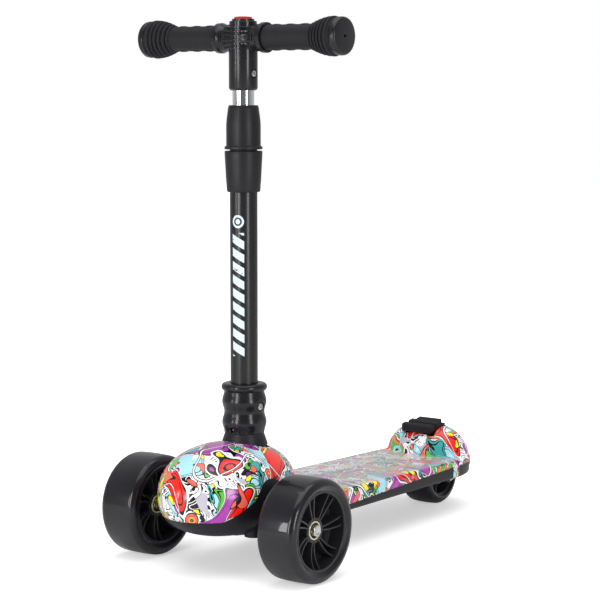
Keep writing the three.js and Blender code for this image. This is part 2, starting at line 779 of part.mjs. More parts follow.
function steeringHead() {
  const profile = [
    [0, head.neckBottom],
    [headNeckRadius, head.neckBottom],
    [headNeckRadius, head.skirtBottom],
    [head.skirtRadius, head.skirtBottom],
    [head.skirtRadius, head.skirtBottom + head.skirtEdge],
    [head.flareRadius, head.ringBottom],
    [head.ringRadius, head.ringBottom],
    [head.ringRadius, socketBottom - fitGap],
    [head.spigotRadius, socketBottom - fitGap],
    [head.spigotRadius, head.spigotTop],
    [0, head.spigotTop],
  ];
  let solid = moved(turned(profile, 'z', 20), 0, stemY, 0);
  solid = solid.add(block(
    -head.wingHalf, head.wingHalf, stemY - head.wingDepth, stemY + head.wingDepth,
    head.neckBottom, head.neckBottom + head.wingThickness));
  solid = solid.add(block(
    -head.leverHalfX, head.leverHalfX, stemY - head.leverHalfY, stemY + head.leverHalfY,
    tieRod.z, head.neckBottom + head.wingThickness));
  const tip = rod(head.tipRadius, stemY - head.leverHalfY, stemY + head.leverHalfY, 'y');
  solid = solid.add(moved(tip, 0, 0, tieRod.z));
  const pinHole = rod(pivot.radius + fitGap, stemY - plate.rear, stemY + plate.rear, 'y');
  solid = solid.subtract(moved(pinHole, 0, 0, pivot.z));
  const bore = rod(snap.radius + fitGap, stemY - snap.tip - overrun, stemY - snap.tail + snap.boreDepth, 'y');
  return solid.subtract(moved(bore, 0, 0, snap.z));
}
addNode('steering_head', steeringHead(), colours.charcoal);

const springTube = { x: 25, inner: 4.2, outer: 6.2 };
function addCentringSpring(name, side) {
  const spring = tube(springTube.inner, springTube.outer, bracketTop + fitGap, head.neckBottom - fitGap, 'z');
  addNode(name, moved(spring, side * springTube.x, stemY, 0), colours.steel);
}
addCentringSpring('left_centring_spring', 1);
addCentringSpring('right_centring_spring', -1);

function addTieRod() {
  let solid = planProfile(slotShape(0, stemY, tieRod.half, tieRod.depth), rodBottom, rodTop);
  const windowHalfX = head.tipRadius + fitGap;
  const windowHalfY = head.leverHalfY + runningGap;
  solid = solid.subtract(block(
    -windowHalfX, windowHalfX, stemY - windowHalfY, stemY + windowHalfY,
    rodBottom - overrun, rodTop + overrun));
  for (const side of [-1, 1]) {
    const halfX = knuckle.pegRadius + fitGap;
    const slot = slotShape(side * kingpin.x, stemY, halfX, halfX + tieRod.slotPlay);
    solid = solid.subtract(planProfile(slot, rodBottom - overrun, rodTop + overrun));
  }
  addNode('tie_rod', solid, colours.inner);
}
addTieRod();

// Knuckles, each with its axle bolt, jam nut and bearing spacer
const wheelCentreX = frontTrack / 2;
const bearingOuterFace = frontWheel.bossWidth / 2;
const jamNut = { flats: 13, height: 6 };
const jamNutOuterX = wheelCentreX - bearingOuterFace - fitGap;
const knuckleArmEnd = jamNutOuterX - jamNut.height - fitGap;
const axleBoltEnd = kingpin.x + knuckle.barrelRadius + fitGap * 2;

function addKnuckle(name, side) {
  const barrel = rod(knuckle.barrelRadius, knuckleBottom, knuckleTop, 'z', 16);
  const arm = moved(rod(knuckle.armRadius, 0, knuckleArmEnd - kingpin.x, 'x', 16), 0, 0, frontAxleZ);
  const steerFrom = rodTop + fitGap;
  const steerTo = steerFrom + knuckle.armHeight;
  const lever = block(-knuckle.armHalf, knuckle.armHalf, 0, stemSetback, steerFrom, steerTo);
  const leverEnd = moved(rod(knuckle.armHalf, steerFrom, steerTo, 'z'), 0, stemSetback, 0);
  const peg = moved(rod(knuckle.pegRadius, rodBottom, steerFrom + fitGap, 'z'), 0, stemSetback, 0);
  const pinBore = rod(kingpin.radius + fitGap, knuckleBottom - overrun, knuckleTop + overrun, 'z');
  const holeStart = axleBoltEnd - kingpin.x - fitGap;
  const axleHole = rod(axleBoltRadius + fitGap, holeStart, knuckleArmEnd + overrun, 'x');
  const axleBore = moved(axleHole, 0, 0, frontAxleZ);
  let solid = joined([barrel, arm, lever, leverEnd, peg]).subtract(pinBore).subtract(axleBore);
  if (side < 0) solid = solid.mirror([1, 0, 0]);
  addNode(name, moved(solid, side * kingpin.x, frontAxleY, 0), colours.inner);
}

function onFrontAxle(solid, side) {
  const turnedSolid = side < 0 ? solid.mirror([1, 0, 0]) : solid;
  return moved(turnedSolid, 0, frontAxleY, frontAxleZ);
}

function addFrontAxle(prefix, side) {
  const headFrom = wheelCentreX + bearingOuterFace + fitGap;
  const shank = rod(axleBoltRadius, axleBoltEnd, headFrom, 'x');
  const boltHead = hexagon(axleHead.flats, headFrom, headFrom + axleHead.height, 'x');
  addNode(`${prefix}_axle_bolt`, onFrontAxle(shank.add(boltHead), side), colours.steel);
  const nut = hexagon(jamNut.flats, jamNutOuterX - jamNut.height, jamNutOuterX, 'x');
  const thread = rod(axleBoltRadius + fitGap, jamNutOuterX - overrun, jamNutOuterX + overrun, 'x');
  addNode(`${prefix}_axle_nut`, onFrontAxle(nut.subtract(thread), side), colours.zinc);
  const half = bearingOuterFace - bearing.width - fitGap;
  const spacer = tube(bearing.bore, bearing.sealInner, wheelCentreX - half, wheelCentreX + half, 'x');
  addNode(`${prefix}_bearing_spacer`, onFrontAxle(spacer, side), colours.zinc);
}
addKnuckle('left_knuckle', 1);
addKnuckle('right_knuckle', -1);
addFrontAxle('left', 1);
addFrontAxle('right', -1);

// A cast tyre round the wheel's rim, about X, centred on the wheel's middle plane
function tyreSolid(wheel) {
  const bore = wheel.rimRadius + fitGap;
  const halfWidth = wheel.width / 2;
  const halfRim = wheel.rimWidth / 2;
  const arcSteps = 3;
  const half = [[bore, halfRim]];
  for (let step = 0; step <= arcSteps; step += 1) {
    const angle = (1 - step / arcSteps) * Math.PI / 2;
    const radius = wheel.radius - wheel.shoulder + wheel.shoulder * Math.cos(angle);
    half.push([radius, halfWidth - wheel.shoulder + wheel.shoulder * Math.sin(angle)]);
  }
  const mirrored = half.map(([radius, along]) => [radius, -along]).reverse();
  return turned([...half, ...mirrored], 'x', wheel.segments);
}

// A moulded hub: rim barrel, web, boss with two bearing seats, and curved ribs in pairs on both faces
function hubSolid(wheel) {
  const halfRim = wheel.rimWidth / 2 - fitGap;
  const halfWeb = wheel.webThickness / 2;
  const halfBoss = wheel.bossWidth / 2;
  const rimInner = wheel.rimRadius - wheel.rimWall;
  const seatRadius = bearing.radius + fitGap;
  const seatDepth = halfBoss - bearing.width - fitGap;
  const middleBore = bearing.sealOuter;
  const half = [
    [middleBore, seatDepth],
    [seatRadius, seatDepth],
    [seatRadius, halfBoss],
    [wheel.bossRadius, halfBoss],
    [wheel.bossRadius, halfWeb],
    [rimInner, halfWeb],
    [rimInner, halfRim],
    [wheel.rimRadius, halfRim],
  ];
  const mirrored = half.map(([radius, along]) => [radius, -along]).reverse();
  const core = turned([...half, ...mirrored], 'x', wheel.hubSegments);
  const dish = turned([
    [0, -halfBoss],
    [wheel.bossRadius, -halfBoss],
    [rimInner + wheel.rimWall / 2, -wheel.dishHalf],
    [rimInner + wheel.rimWall / 2, wheel.dishHalf],
    [wheel.bossRadius, halfBoss],
    [0, halfBoss],
  ], 'x', wheel.ribPairs);
  const ribSteps = 2;
  const ribs = [];
  for (let pair = 0; pair < wheel.ribPairs; pair += 1) {
    for (const lean of [-1, 1]) {
      const start = pair / wheel.ribPairs * Math.PI * 2 + lean * wheel.ribSpread;
      const nearSide = [];
      const farSide = [];
      for (let step = 0; step <= ribSteps; step += 1) {
        const share = step / ribSteps;
        const from = wheel.bossRadius - wheel.ribThickness / 2;
        const radius = from + (rimInner + wheel.rimWall / 3 - from) * share;
        const angle = start + wheel.ribSweep * share * share;
        const halfAngle = wheel.ribThickness / 2 / radius;
        nearSide.push([radius * Math.cos(angle + halfAngle), radius * Math.sin(angle + halfAngle)]);
        farSide.unshift([radius * Math.cos(angle - halfAngle), radius * Math.sin(angle - halfAngle)]);
      }
      ribs.push(sideProfile([...nearSide, ...farSide], -halfRim, halfRim));
    }
  }
  return core.add(joined(ribs).intersect(dish));
}

function bearingSolid() {
  const half = bearing.width / 2;
  const profile = [
    [bearing.bore, -half],
    [bearing.radius, -half],
    [bearing.radius, half],
    [bearing.sealOuter, half],
    [bearing.sealInner, half - bearing.sealDepth],
    [bearing.bore, half - bearing.sealDepth],
  ];
  return turned(profile, 'x', 12);
}

function addWheel(prefix, wheel, x, y, z) {
  addNode(`${prefix}_tyre`, moved(tyreSolid(wheel), x, y, z), colours.tyre);
  addNode(`${prefix}_hub`, moved(hubSolid(wheel), x, y, z), colours.inner);
  const offset = wheel.bossWidth / 2 - bearing.width / 2;
  const facing = bearingSolid();
  addNode(`${prefix}_bearing_a`, moved(facing, x + offset, y, z), colours.zinc);
  addNode(`${prefix}_bearing_b`, moved(facing.mirror([1, 0, 0]), x - offset, y, z), colours.zinc);
}
addWheel('left_wheel', frontWheel, wheelCentreX, frontAxleY, frontAxleZ);
addWheel('right_wheel', frontWheel, -wheelCentreX, frontAxleY, frontAxleZ);
addWheel('rear_wheel', rearWheel, 0, rearAxleY, rearAxleZ);

// Rear axle: bolt, nut, the spacer between the bearings and a sleeve to each fork plate
function addRearAxle() {
  const onAxle = (solid) => moved(solid, 0, rearAxleY, rearAxleZ);
  const forkOuter = fork.inner + fork.thickness + fitGap;
  const nutHeight = 6.5;
  const shank = rod(axleBoltRadius, -forkOuter - nutHeight - 1, forkOuter, 'x');
  const boltHead = hexagon(axleHead.flats, forkOuter, forkOuter + axleHead.height, 'x');
  addNode('rear_axle_bolt', onAxle(shank.add(boltHead)), colours.steel);
  const nut = hexagon(axleHead.flats, -forkOuter - nutHeight, -forkOuter, 'x');
  const thread = rod(axleBoltRadius + fitGap, -forkOuter - overrun, -forkOuter + overrun, 'x');
  addNode('rear_axle_nut', onAxle(nut.subtract(thread)), colours.zinc);
  const bearingFace = rearWheel.bossWidth / 2;
  const spacerHalf = bearingFace - bearing.width - fitGap;
  const spacer = tube(bearing.bore, bearing.sealInner, -spacerHalf, spacerHalf, 'x');
  addNode('rear_bearing_spacer', onAxle(spacer), colours.zinc);
  const sleeve = tube(bearing.bore, bearing.sealInner, bearingFace + fitGap, fork.inner - fitGap, 'x');
  addNode('rear_sleeve_left', onAxle(sleeve), colours.zinc);
  addNode('rear_sleeve_right', onAxle(sleeve.mirror([1, 0, 0])), colours.zinc);
}
addRearAxle();

// Foot brake: a pad with three ridges in a window of the tail dome, on an arm whose curved
// shoe hangs over the rear tyre
function brakePedal() {
  const rearY = rearAxleY + brake.padRear;
  const frontY = rearAxleY - brake.padFront;
  const slope = (brake.padTopRear - brake.padTopFront) / (rearY - frontY);
  const topAt = (y) => brake.padTopFront + slope * (y - frontY);
  const armInner = rearWheel.radius + brake.armGap;
  const armOuter = armInner + brake.armThickness;
  const shoeInner = rearWheel.radius + brake.shoeGap;
  const pivotAngle = Math.atan2(brake.pivotZ - rearAxleZ, brakePivotY - rearAxleY);
  const arcOver = (inner, outer, from, to) => {
    const arc = new THREE.Shape();
    arc.absarc(rearAxleY, rearAxleZ, outer, from, to, false);
    arc.absarc(rearAxleY, rearAxleZ, inner, to, from, true);
    return sideProfile(arc, -brake.armHalf, brake.armHalf);
  };
  const radians = THREE.MathUtils.degToRad;
  let solid = arcOver(armInner, armOuter, radians(brake.armEnd), pivotAngle);
  const barrel = rod(brake.barrelRadius, -brake.armHalf, brake.armHalf, 'x');
  solid = solid.add(moved(barrel, 0, brakePivotY, brake.pivotZ));
  const post = block(
    -brake.armHalf, brake.armHalf, rearAxleY - brake.postFront, rearAxleY + brake.postRear,
    brake.postBottom, brake.padTopFront - brake.postInset);
  const tyreRoom = moved(rod(armInner, -overrun, overrun, 'x', 40), 0, rearAxleY, rearAxleZ);
  solid = solid.add(post.subtract(tyreRoom));
  solid = solid.add(arcOver(shoeInner, armOuter, radians(brake.shoeStart), radians(brake.shoeEnd)));
  solid = solid.add(sideProfile([
    [frontY, topAt(frontY) - brake.padThickness],
    [rearY, topAt(rearY) - brake.padThickness],
    [rearY, topAt(rearY)],
    [frontY, topAt(frontY)],
  ], -brake.padHalf, brake.padHalf));
  const ridge = {
    depth: 9.5,
    height: 5.2,
    edge: 1,
    halfShares: [1.04, 1, 0.76],
    placeShares: [0.02, 0.43, 0.73],
  };
  ridge.placeShares.forEach((share, at) => {
    const from = frontY + (rearY - frontY) * share;
    const to = from + ridge.depth;
    const half = brake.padHalf * ridge.halfShares[at];
    const frontTop = topAt(from) + ridge.height;
    const rearTop = topAt(to) + ridge.height;
    solid = solid.add(sideProfile([
      [from, topAt(from) - ridge.edge],
      [to, topAt(to) - ridge.edge],
      [to, rearTop - ridge.edge],
      [to - ridge.edge, rearTop],
      [from + ridge.edge, frontTop],
      [from, frontTop - ridge.edge],
    ], -half, half));
  });
  const pinBore = rod(brake.pinRadius + fitGap, -sideReach, sideReach, 'x');
  return solid.subtract(moved(pinBore, 0, brakePivotY, brake.pivotZ));
}
addNode('brake_pedal', brakePedal(), colours.rubber);

function addBrakePinAndSpring() {
  const pinHalf = fork.inner + fork.thickness;
  const pin = rod(brake.pinRadius, -pinHalf, pinHalf, 'x');
  addNode('brake_pin', moved(pin, 0, brakePivotY, brake.pivotZ), colours.steel);
  const coilFrom = brake.armHalf + runningGap;
  const coil = tube(brake.pinRadius + fitGap, brake.barrelRadius, coilFrom, fork.inner - fitGap, 'x');
  addNode('brake_spring', moved(coil, 0, brakePivotY, brake.pivotZ), colours.steel);
}
addBrakePinAndSpring();

// Column: socket, outer tube, collars and collet
const outerTube = { radius: outerTubeDiameter / 2, wall: 1.5, seatGap: 1, drop: 133.5 };
outerTube.bottom = head.spigotTop + outerTube.seatGap;
const outerTubeTop = barHeight - outerTube.drop;
const socket = {
  height: 58.1,
  waist: 7.6,
  bulge: 10,
  lip: 10.85,
  lipHeight: 9.5,
  lipRoot: 1,
  lipEdge: 0.8,
  lipCrown: 2.2,
  flat: 8.6,
  boltRise: 31.6,
  boltRadius: 3,
  boltHeadRadius: 4.2,
  boltRecess: 5.4,
  boltRecessDepth: 3,
  boltHeadHeight: 2.6,
  keyFlats: 3.9,
  keyDepth: 1.5,
};
socket.top = socketBottom + socket.height;
socket.boltZ = socketBottom + socket.boltRise;
socket.waistRadius = outerTube.radius + socket.waist;
socket.bulgeRadius = outerTube.radius + socket.bulge;
socket.lipRadius = outerTube.radius + socket.lip;
socket.flatHalf = outerTube.radius + socket.flat;
const socketBore = outerTube.radius + fitGap;

function stemSocket() {
  const height = socket.top - socketBottom;
  const waveHeight = height - socket.lipHeight;
  const waveSteps = 8;
  const profile = [[socketBore, socketBottom]];
  for (let step = 0; step <= waveSteps; step += 1) {
    const share = step / waveSteps;
    const swing = Math.pow(Math.sin(share * Math.PI * 2), 2);
    const radius = socket.waistRadius + (socket.bulgeRadius - socket.waistRadius) * swing;
    profile.push([radius, socketBottom + waveHeight * share]);
  }
  const lipMiddle = socket.top - socket.lipHeight / 2;
  profile.push([socket.lipRadius - socket.lipRoot, lipMiddle - socket.lipHeight / 4]);
  profile.push([socket.lipRadius, lipMiddle]);
  profile.push([socket.lipRadius - socket.lipEdge, socket.top - socket.lipRoot]);
  profile.push([socket.lipRadius - socket.lipCrown, socket.top]);
  profile.push([socketBore, socket.top]);
  let solid = moved(turned(profile, 'z', 24), 0, stemY, 0);
  const flatTop = socketBottom + waveHeight;
  for (const side of [-1, 1]) {
    const from = Math.min(side * socket.flatHalf, side * socket.flatHalf * 2);
    const to = Math.max(side * socket.flatHalf, side * socket.flatHalf * 2);
    solid = solid.subtract(block(
      from, to, stemY - socket.flatHalf, stemY + socket.flatHalf, socketBottom - overrun, flatTop));
    const recessFrom = socket.flatHalf - socket.boltRecessDepth;
    const recess = rod(socket.boltRecess, recessFrom, recessFrom + overrun, 'x');
    const facing = side < 0 ? recess.mirror([1, 0, 0]) : recess;
    solid = solid.subtract(moved(facing, 0, stemY, socket.boltZ));
  }
  const bore = rod(socket.boltRadius + fitGap, -sideReach, sideReach, 'x');
  solid = solid.subtract(moved(bore, 0, stemY, socket.boltZ));
  const snapHole = rod(snap.radius + fitGap, stemY - sideReach, stemY, 'y');
  return solid.subtract(moved(snapHole, 0, 0, snap.z));
}
addNode('stem_socket', stemSocket(), colours.charcoal);

function addSocketBolt() {
  const headFrom = socket.flatHalf - socket.boltRecessDepth + fitGap;
  const headTo = headFrom + socket.boltHeadHeight;
  const shank = rod(socket.boltRadius, -headFrom, headFrom, 'x');
  const key = hexagon(socket.keyFlats, headTo - socket.keyDepth, headTo + overrun, 'x');
  const boltHead = rod(socket.boltHeadRadius, headFrom, headTo, 'x', 16).subtract(key);
  const barrelNut = rod(socket.boltHeadRadius, -headTo, -headFrom, 'x');
  addNode('socket_bolt', moved(joined([shank, boltHead, barrelNut]), 0, stemY, socket.boltZ), colours.steel);
}
addSocketBolt();

function addOuterTube() {
  const bore = outerTube.radius - outerTube.wall;
  const wall = moved(tube(bore, outerTube.radius, outerTube.bottom, outerTubeTop, 'z', 24), 0, stemY, 0);
  const hole = moved(rod(socket.boltRadius + fitGap, -sideReach, sideReach, 'x'), 0, stemY, socket.boltZ);
  addNode('outer_tube', wall.subtract(hole), colours.paintedTube);
}
addOuterTube();

const snapButton = turned([
  [0, snap.tail],
  [snap.radius, snap.tail],
  [snap.radius, snap.tip - snap.tipLength],
  [snap.tipRadius, snap.tip - snap.crown],
  [0, snap.tip],
], 'y').mirror([0, 1, 0]);
addNode('snap_button', moved(snapButton, 0, stemY, snap.z), colours.steel);

const collar = {
  lowerOverlap: 42.6,
  lowerHeight: 47.3,
  lowerBottomWall: 3.5,
  lowerTopWall: 5.9,
  turnGap: 1.9,
  upperHeight: 50.4,
  flangeWall: 5.9,
  flangeHeight: 3,
  bodyWall: 3.9,
  shoulderDrop: 22,
  topWall: 1.2,
  neckStep: 1,
  lip: 5.5,
  edge: 1.2,
};
collar.lowerBottomRadius = outerTube.radius + collar.lowerBottomWall;
collar.lowerTopRadius = outerTube.radius + collar.lowerTopWall;
collar.flangeRadius = outerTube.radius + collar.flangeWall;
collar.bodyRadius = outerTube.radius + collar.bodyWall;
collar.topRadius = outerTube.radius + collar.topWall;
collar.neckRadius = outerTube.radius - collar.neckStep;
const lowerCollarBottom = outerTubeTop - collar.lowerOverlap;
const lowerCollarTop = lowerCollarBottom + collar.lowerHeight;
const twistCollarBottom = lowerCollarTop + collar.turnGap;
const twistCollarTop = twistCollarBottom + collar.upperHeight;
function addLowerCollar() {
  const profile = [
    [outerTube.radius + fitGap, lowerCollarBottom],
    [collar.lowerBottomRadius - collar.edge, lowerCollarBottom],
    [collar.lowerBottomRadius, lowerCollarBottom + collar.edge * 2],
    [collar.lowerTopRadius, lowerCollarTop],
    [outerTube.radius + fitGap, lowerCollarTop],
  ];
  addNode('lower_collar', moved(turned(profile, 'z', 20), 0, stemY, 0), colours.charcoal);
}
addLowerCollar();

const innerTube = { step: 3.55, wall: 1.5, drop: 19.5 };
innerTube.radius = outerTube.radius - innerTube.step;
const innerTubeTop = barHeight - innerTube.drop;
const tubeBore = innerTube.radius + fitGap;
function addCollet() {
  const skirtLength = 30;
  const flangeTop = twistCollarBottom + fitGap * 2;
  const insideTube = outerTube.radius - outerTube.wall - fitGap;
  const top = twistCollarTop - collar.lip - runningGap;
  const profile = [
    [tubeBore, outerTubeTop - skirtLength],
    [insideTube, outerTubeTop - skirtLength],
    [insideTube, outerTubeTop + fitGap],
    [outerTube.radius, outerTubeTop + fitGap],
    [outerTube.radius, flangeTop],
    [collar.neckRadius, flangeTop],
    [collar.neckRadius, top],
    [tubeBore, top],
  ];
  let solid = turned(profile, 'z');
  const slit = { half: 1, depth: 26, count: 4 };
  for (let at = 0; at < slit.count; at += 1) {
    const cut = block(0, outerTube.radius * 2, -slit.half, slit.half, top - slit.depth, top + overrun);
    solid = solid.subtract(cut.rotate([0, 0, at * 360 / slit.count]));
  }
  addNode('clamp_collet', moved(solid, 0, stemY, 0), colours.inner);
}
addCollet();

function addTwistCollar() {
  const colletRoom = outerTube.radius + fitGap;
  const neckRoom = collar.neckRadius + fitGap;
  const stepZ = twistCollarBottom + fitGap * 5;
  const profile = [
    [colletRoom, twistCollarBottom],
    [collar.flangeRadius, twistCollarBottom],
    [collar.flangeRadius, twistCollarBottom + collar.flangeHeight],
    [collar.bodyRadius, twistCollarBottom + collar.flangeHeight + collar.edge],
    [collar.bodyRadius, twistCollarTop - collar.shoulderDrop],
    [collar.topRadius, twistCollarTop - collar.edge],
    [collar.topRadius - collar.edge, twistCollarTop],
    [innerTube.radius + runningGap, twistCollarTop],
    [innerTube.radius + runningGap, twistCollarTop - collar.lip],
    [neckRoom, twistCollarTop - collar.lip],
    [neckRoom, stepZ],
    [colletRoom, stepZ],
  ];
  addNode('twist_collar', moved(turned(profile, 'z', 20), 0, stemY, 0), colours.charcoal);
}
addTwistCollar();

// T-bar: inner tube with its guide bush, T-joint, crossbar, grips and end caps
const bushFlangeBottom = socket.boltZ + socket.boltRadius + fitGap;
const bush = { flange: 3.4, height: 24, plugHeight: 12, rodBore: 3.5 };
const innerTubeBottom = bushFlangeBottom + bush.flange + fitGap;
const sideScrew = {
  drop: 40.5,
  radius: 2.4,
  headRadius: 3.9,
  recess: 5,
  recessDepth: 3.2,
  length: 6,
  keyFlats: 3.4,
  keyDepth: 1.2,
};
const socketSleeve = { drop: 59.8, wall: 3.85, edge: 3 };
socketSleeve.radius = tubeBore + socketSleeve.wall;
const sideScrewZ = barHeight - sideScrew.drop;
const sleeveBottom = barHeight - socketSleeve.drop;

function addInnerTube() {
  const bore = innerTube.radius - innerTube.wall;
  const wall = moved(tube(bore, innerTube.radius, innerTubeBottom, innerTubeTop, 'z', 24), 0, stemY, 0);
  const hole = moved(rod(sideScrew.radius + fitGap, 0, sideReach, 'x'), 0, stemY, sideScrewZ);
  addNode('inner_tube', wall.subtract(hole), colours.chrome);
  const slideRadius = outerTube.radius - outerTube.wall - fitGap;
  const plugRadius = innerTube.radius - innerTube.wall - fitGap;
  const profile = [
    [bush.rodBore, bushFlangeBottom],
    [slideRadius, bushFlangeBottom],
    [slideRadius, bushFlangeBottom + bush.height],
    [tubeBore, bushFlangeBottom + bush.height],
    [tubeBore, bushFlangeBottom + bush.flange],
    [plugRadius, bushFlangeBottom + bush.flange],
    [plugRadius, bushFlangeBottom + bush.plugHeight],
    [bush.rodBore, bushFlangeBottom + bush.plugHeight],
  ];
  addNode('guide_bush', moved(turned(profile, 'z'), 0, stemY, 0), colours.inner);
}
addInnerTube();

const cap = {
  headLength: 8.4,
  radius: 21.4,
  edge: 3,
  plugLength: 12,
  holeRadius: 2,
  holeDepth: 3,
  seatGap: 0.1,
  segments: 20,
};
const barEnd = barLength / 2;
const capStart = barEnd - cap.headLength;
const crossbar = { radius: 10, wall: 1.5, half: capStart - cap.seatGap };
const button = {
  radius: 10.4,
  height: 8.8,
  skirtWall: 2.2,
  crown: 1.4,
  travel: 2.8,
  seatGap: 0.7,
  stemRadius: 3,
  stemDrop: 0.4,
  rodPlay: 1,
};
const tJoint = {
  barrelRadius: 15.6,
  half: 35,
  flareRadius: 17.4,
  flareLength: 8,
  ringRadii: [15.6, 12.9],
  ringStep: 2.4,
  wellFloorThickness: 2,
  ribCount: 4,
  ribPitch: 5.5,
  ribDepth: 1.1,
};
const wellFloor = barHeight + crossbar.radius + tJoint.wellFloorThickness;
const buttonBottom = wellFloor + button.travel + button.seatGap;
const buttonTop = buttonBottom + button.height;
const ringTop = buttonTop - button.travel;
const ringTops = [ringTop - tJoint.ringStep, ringTop];
function tJointSolid() {
  const half = tJoint.half;
  const neck = half - tJoint.flareLength;
  const barrelProfile = [
    [0, -half],
    [tJoint.flareRadius, -half],
    [tJoint.flareRadius, -neck - tJoint.flareLength / 3],
    [tJoint.barrelRadius, -neck],
    [tJoint.barrelRadius, neck],
    [tJoint.flareRadius, neck + tJoint.flareLength / 3],
    [tJoint.flareRadius, half],
    [0, half],
  ];
  const barrel = moved(turned(barrelProfile, 'x', 20), 0, 0, barHeight);
  const sleeveProfile = [
    [0, sleeveBottom],
    [socketSleeve.radius - socketSleeve.edge, sleeveBottom],
    [socketSleeve.radius - socketSleeve.edge / 3, sleeveBottom + socketSleeve.edge / 3],
    [socketSleeve.radius, sleeveBottom + socketSleeve.edge],
    [socketSleeve.radius, barHeight],
    [0, barHeight],
  ];
  let solid = barrel.add(turned(sleeveProfile, 'z', 20));
  tJoint.ringRadii.forEach((radius, at) => {
    solid = solid.add(rod(radius, barHeight, ringTops[at], 'z', 20));
  });
  const ribHalf = neck - tJoint.flareLength / 2;
  for (let at = 0; at < tJoint.ribCount; at += 1) {
    const up = (at - (tJoint.ribCount - 1) / 2) * tJoint.ribPitch;
    const out = Math.sqrt(tJoint.barrelRadius ** 2 - up ** 2);
    for (const side of [-1, 1]) {
      const near = side * (out - tJoint.ribDepth);
      const far = side * (out + tJoint.ribDepth);
      solid = solid.add(block(
        -ribHalf, ribHalf, Math.min(near, far), Math.max(near, far),
        barHeight + up - tJoint.ribDepth, barHeight + up + tJoint.ribDepth));
    }
  }
  const barRoom = rod(crossbar.radius + fitGap, -sideReach, sideReach, 'x', 20);
  solid = solid.subtract(moved(barRoom, 0, 0, barHeight));
  solid = solid.subtract(rod(tubeBore, sleeveBottom - overrun, innerTubeTop + fitGap, 'z', 20));
  solid = solid.subtract(rod(button.stemRadius + runningGap, innerTubeTop, buttonTop, 'z'));
  solid = solid.subtract(rod(button.radius + fitGap, wellFloor, buttonTop + overrun, 'z', 20));
  const recessFrom = socketSleeve.radius - sideScrew.recessDepth;
  const screwRoom = rod(sideScrew.recess, recessFrom, sideReach, 'x', 20);
  const screwBore = rod(sideScrew.radius + fitGap, 0, sideReach, 'x');
  return moved(solid.subtract(moved(screwRoom.add(screwBore), 0, 0, sideScrewZ)), 0, stemY, 0);
}
addNode('t_joint', tJointSolid(), colours.charcoal);

function addSideScrew() {
  const headFrom = socketSleeve.radius - sideScrew.recessDepth + fitGap;
  const headTo = socketSleeve.radius - fitGap;
  const shank = rod(sideScrew.radius, headFrom - sideScrew.length / 2, headFrom, 'x');
  const key = hexagon(sideScrew.keyFlats, headTo - sideScrew.keyDepth, headTo + overrun, 'x');
  const screwHead = rod(sideScrew.headRadius, headFrom, headTo, 'x', 16).subtract(key);
  addNode('t_joint_screw', moved(shank.add(screwHead), 0, stemY, sideScrewZ), colours.steel);
}
addSideScrew();

function addCrossbar() {
  const wall = tube(crossbar.radius - crossbar.wall, crossbar.radius, -crossbar.half, crossbar.half, 'x', 20);
  const rodHole = rod(button.stemRadius + runningGap, -overrun, overrun, 'z');
  addNode('crossbar_tube', moved(wall.subtract(rodHole), 0, stemY, barHeight), colours.steel);
}
addCrossbar();

// A rubber grip: shallow oval pads, then a bell of stepped rings towards the end cap
const grip = {
  radius: 14.3,
  start: tJoint.half + fitGap,
  bellLength: 31,
  bellEdge: 2,
  bellRadius: 22.4,
  rings: 6,
  ringDepth: 0.9,
  padRise: 0.8,
  padRoot: 11,
  padStart: 13,
  padPitch: 20,
  padHalfLength: 7.5,
  padHalfWidth: 5.5,
};
const ringShares = [0.75, 0.3, 0.8];
const gripEnd = capStart - fitGap * 2;
const bellEnd = gripEnd - grip.bellEdge;
const bellStart = bellEnd - grip.bellLength;
function gripSolid() {
  const bore = crossbar.radius + fitGap;
  const profile = [[bore, grip.start], [grip.radius, grip.start], [grip.radius, bellStart]];
  const pitch = (bellEnd - bellStart) / grip.rings;
  const bellAt = (share) => grip.radius + (grip.bellRadius - grip.radius) * Math.sin(share * Math.PI / 2);
  const [crestShare, crestPlaceShare, troughPlaceShare] = ringShares;
  for (let ring = 0; ring < grip.rings; ring += 1) {
    const from = bellStart + ring * pitch;
    profile.push([bellAt((ring + crestShare) / grip.rings), from + pitch * crestPlaceShare]);
    profile.push([bellAt((ring + 1) / grip.rings) - grip.ringDepth, from + pitch * troughPlaceShare]);
  }
  profile.push([grip.bellRadius - grip.ringDepth * 2, gripEnd]);
  profile.push([bore, gripEnd]);
  let solid = turned(profile, 'x', 16);
  const firstPad = grip.start + grip.padStart;
  for (let centre = firstPad; centre < bellStart; centre += grip.padPitch) {
    for (const turn of [0, 180]) {
      const shape = new THREE.Shape();
      shape.absellipse(centre, 0, grip.padHalfLength, grip.padHalfWidth, 0, Math.PI * 2, false, 0);
      const geometry = new THREE.ExtrudeGeometry(
        shape, { depth: grip.radius + grip.padRise - grip.padRoot, bevelEnabled: false, curveSegments: 4 });
      geometry.translate(0, 0, grip.padRoot);
      solid = solid.add(solidFrom(geometry).rotate([turn, 0, 0]));
    }
  }
  return solid;
}
function endCapSolid() {
  const plug = crossbar.radius - crossbar.wall - fitGap;
  return turned([
    [0, capStart - cap.plugLength],
    [plug, capStart - cap.plugLength],
    [plug, capStart],
    [cap.radius - cap.edge / 3, capStart],
    [cap.radius, barEnd - cap.edge],
    [cap.radius - cap.edge / 3, barEnd - cap.edge / 3],
    [cap.radius - cap.edge, barEnd],
    [cap.holeRadius, barEnd],
    [cap.holeRadius, barEnd - cap.holeDepth],
    [0, barEnd - cap.holeDepth],
  ], 'x', cap.segments);
}
for (const [prefix, side] of [['left', 1], ['right', -1]]) {
  const facing = (solid) => moved(side < 0 ? solid.mirror([1, 0, 0]) : solid, 0, stemY, barHeight);
  addNode(`${prefix}_grip`, facing(gripSolid()), colours.rubber);
  addNode(`${prefix}_end_cap`, facing(endCapSolid()), colours.rubber);
}

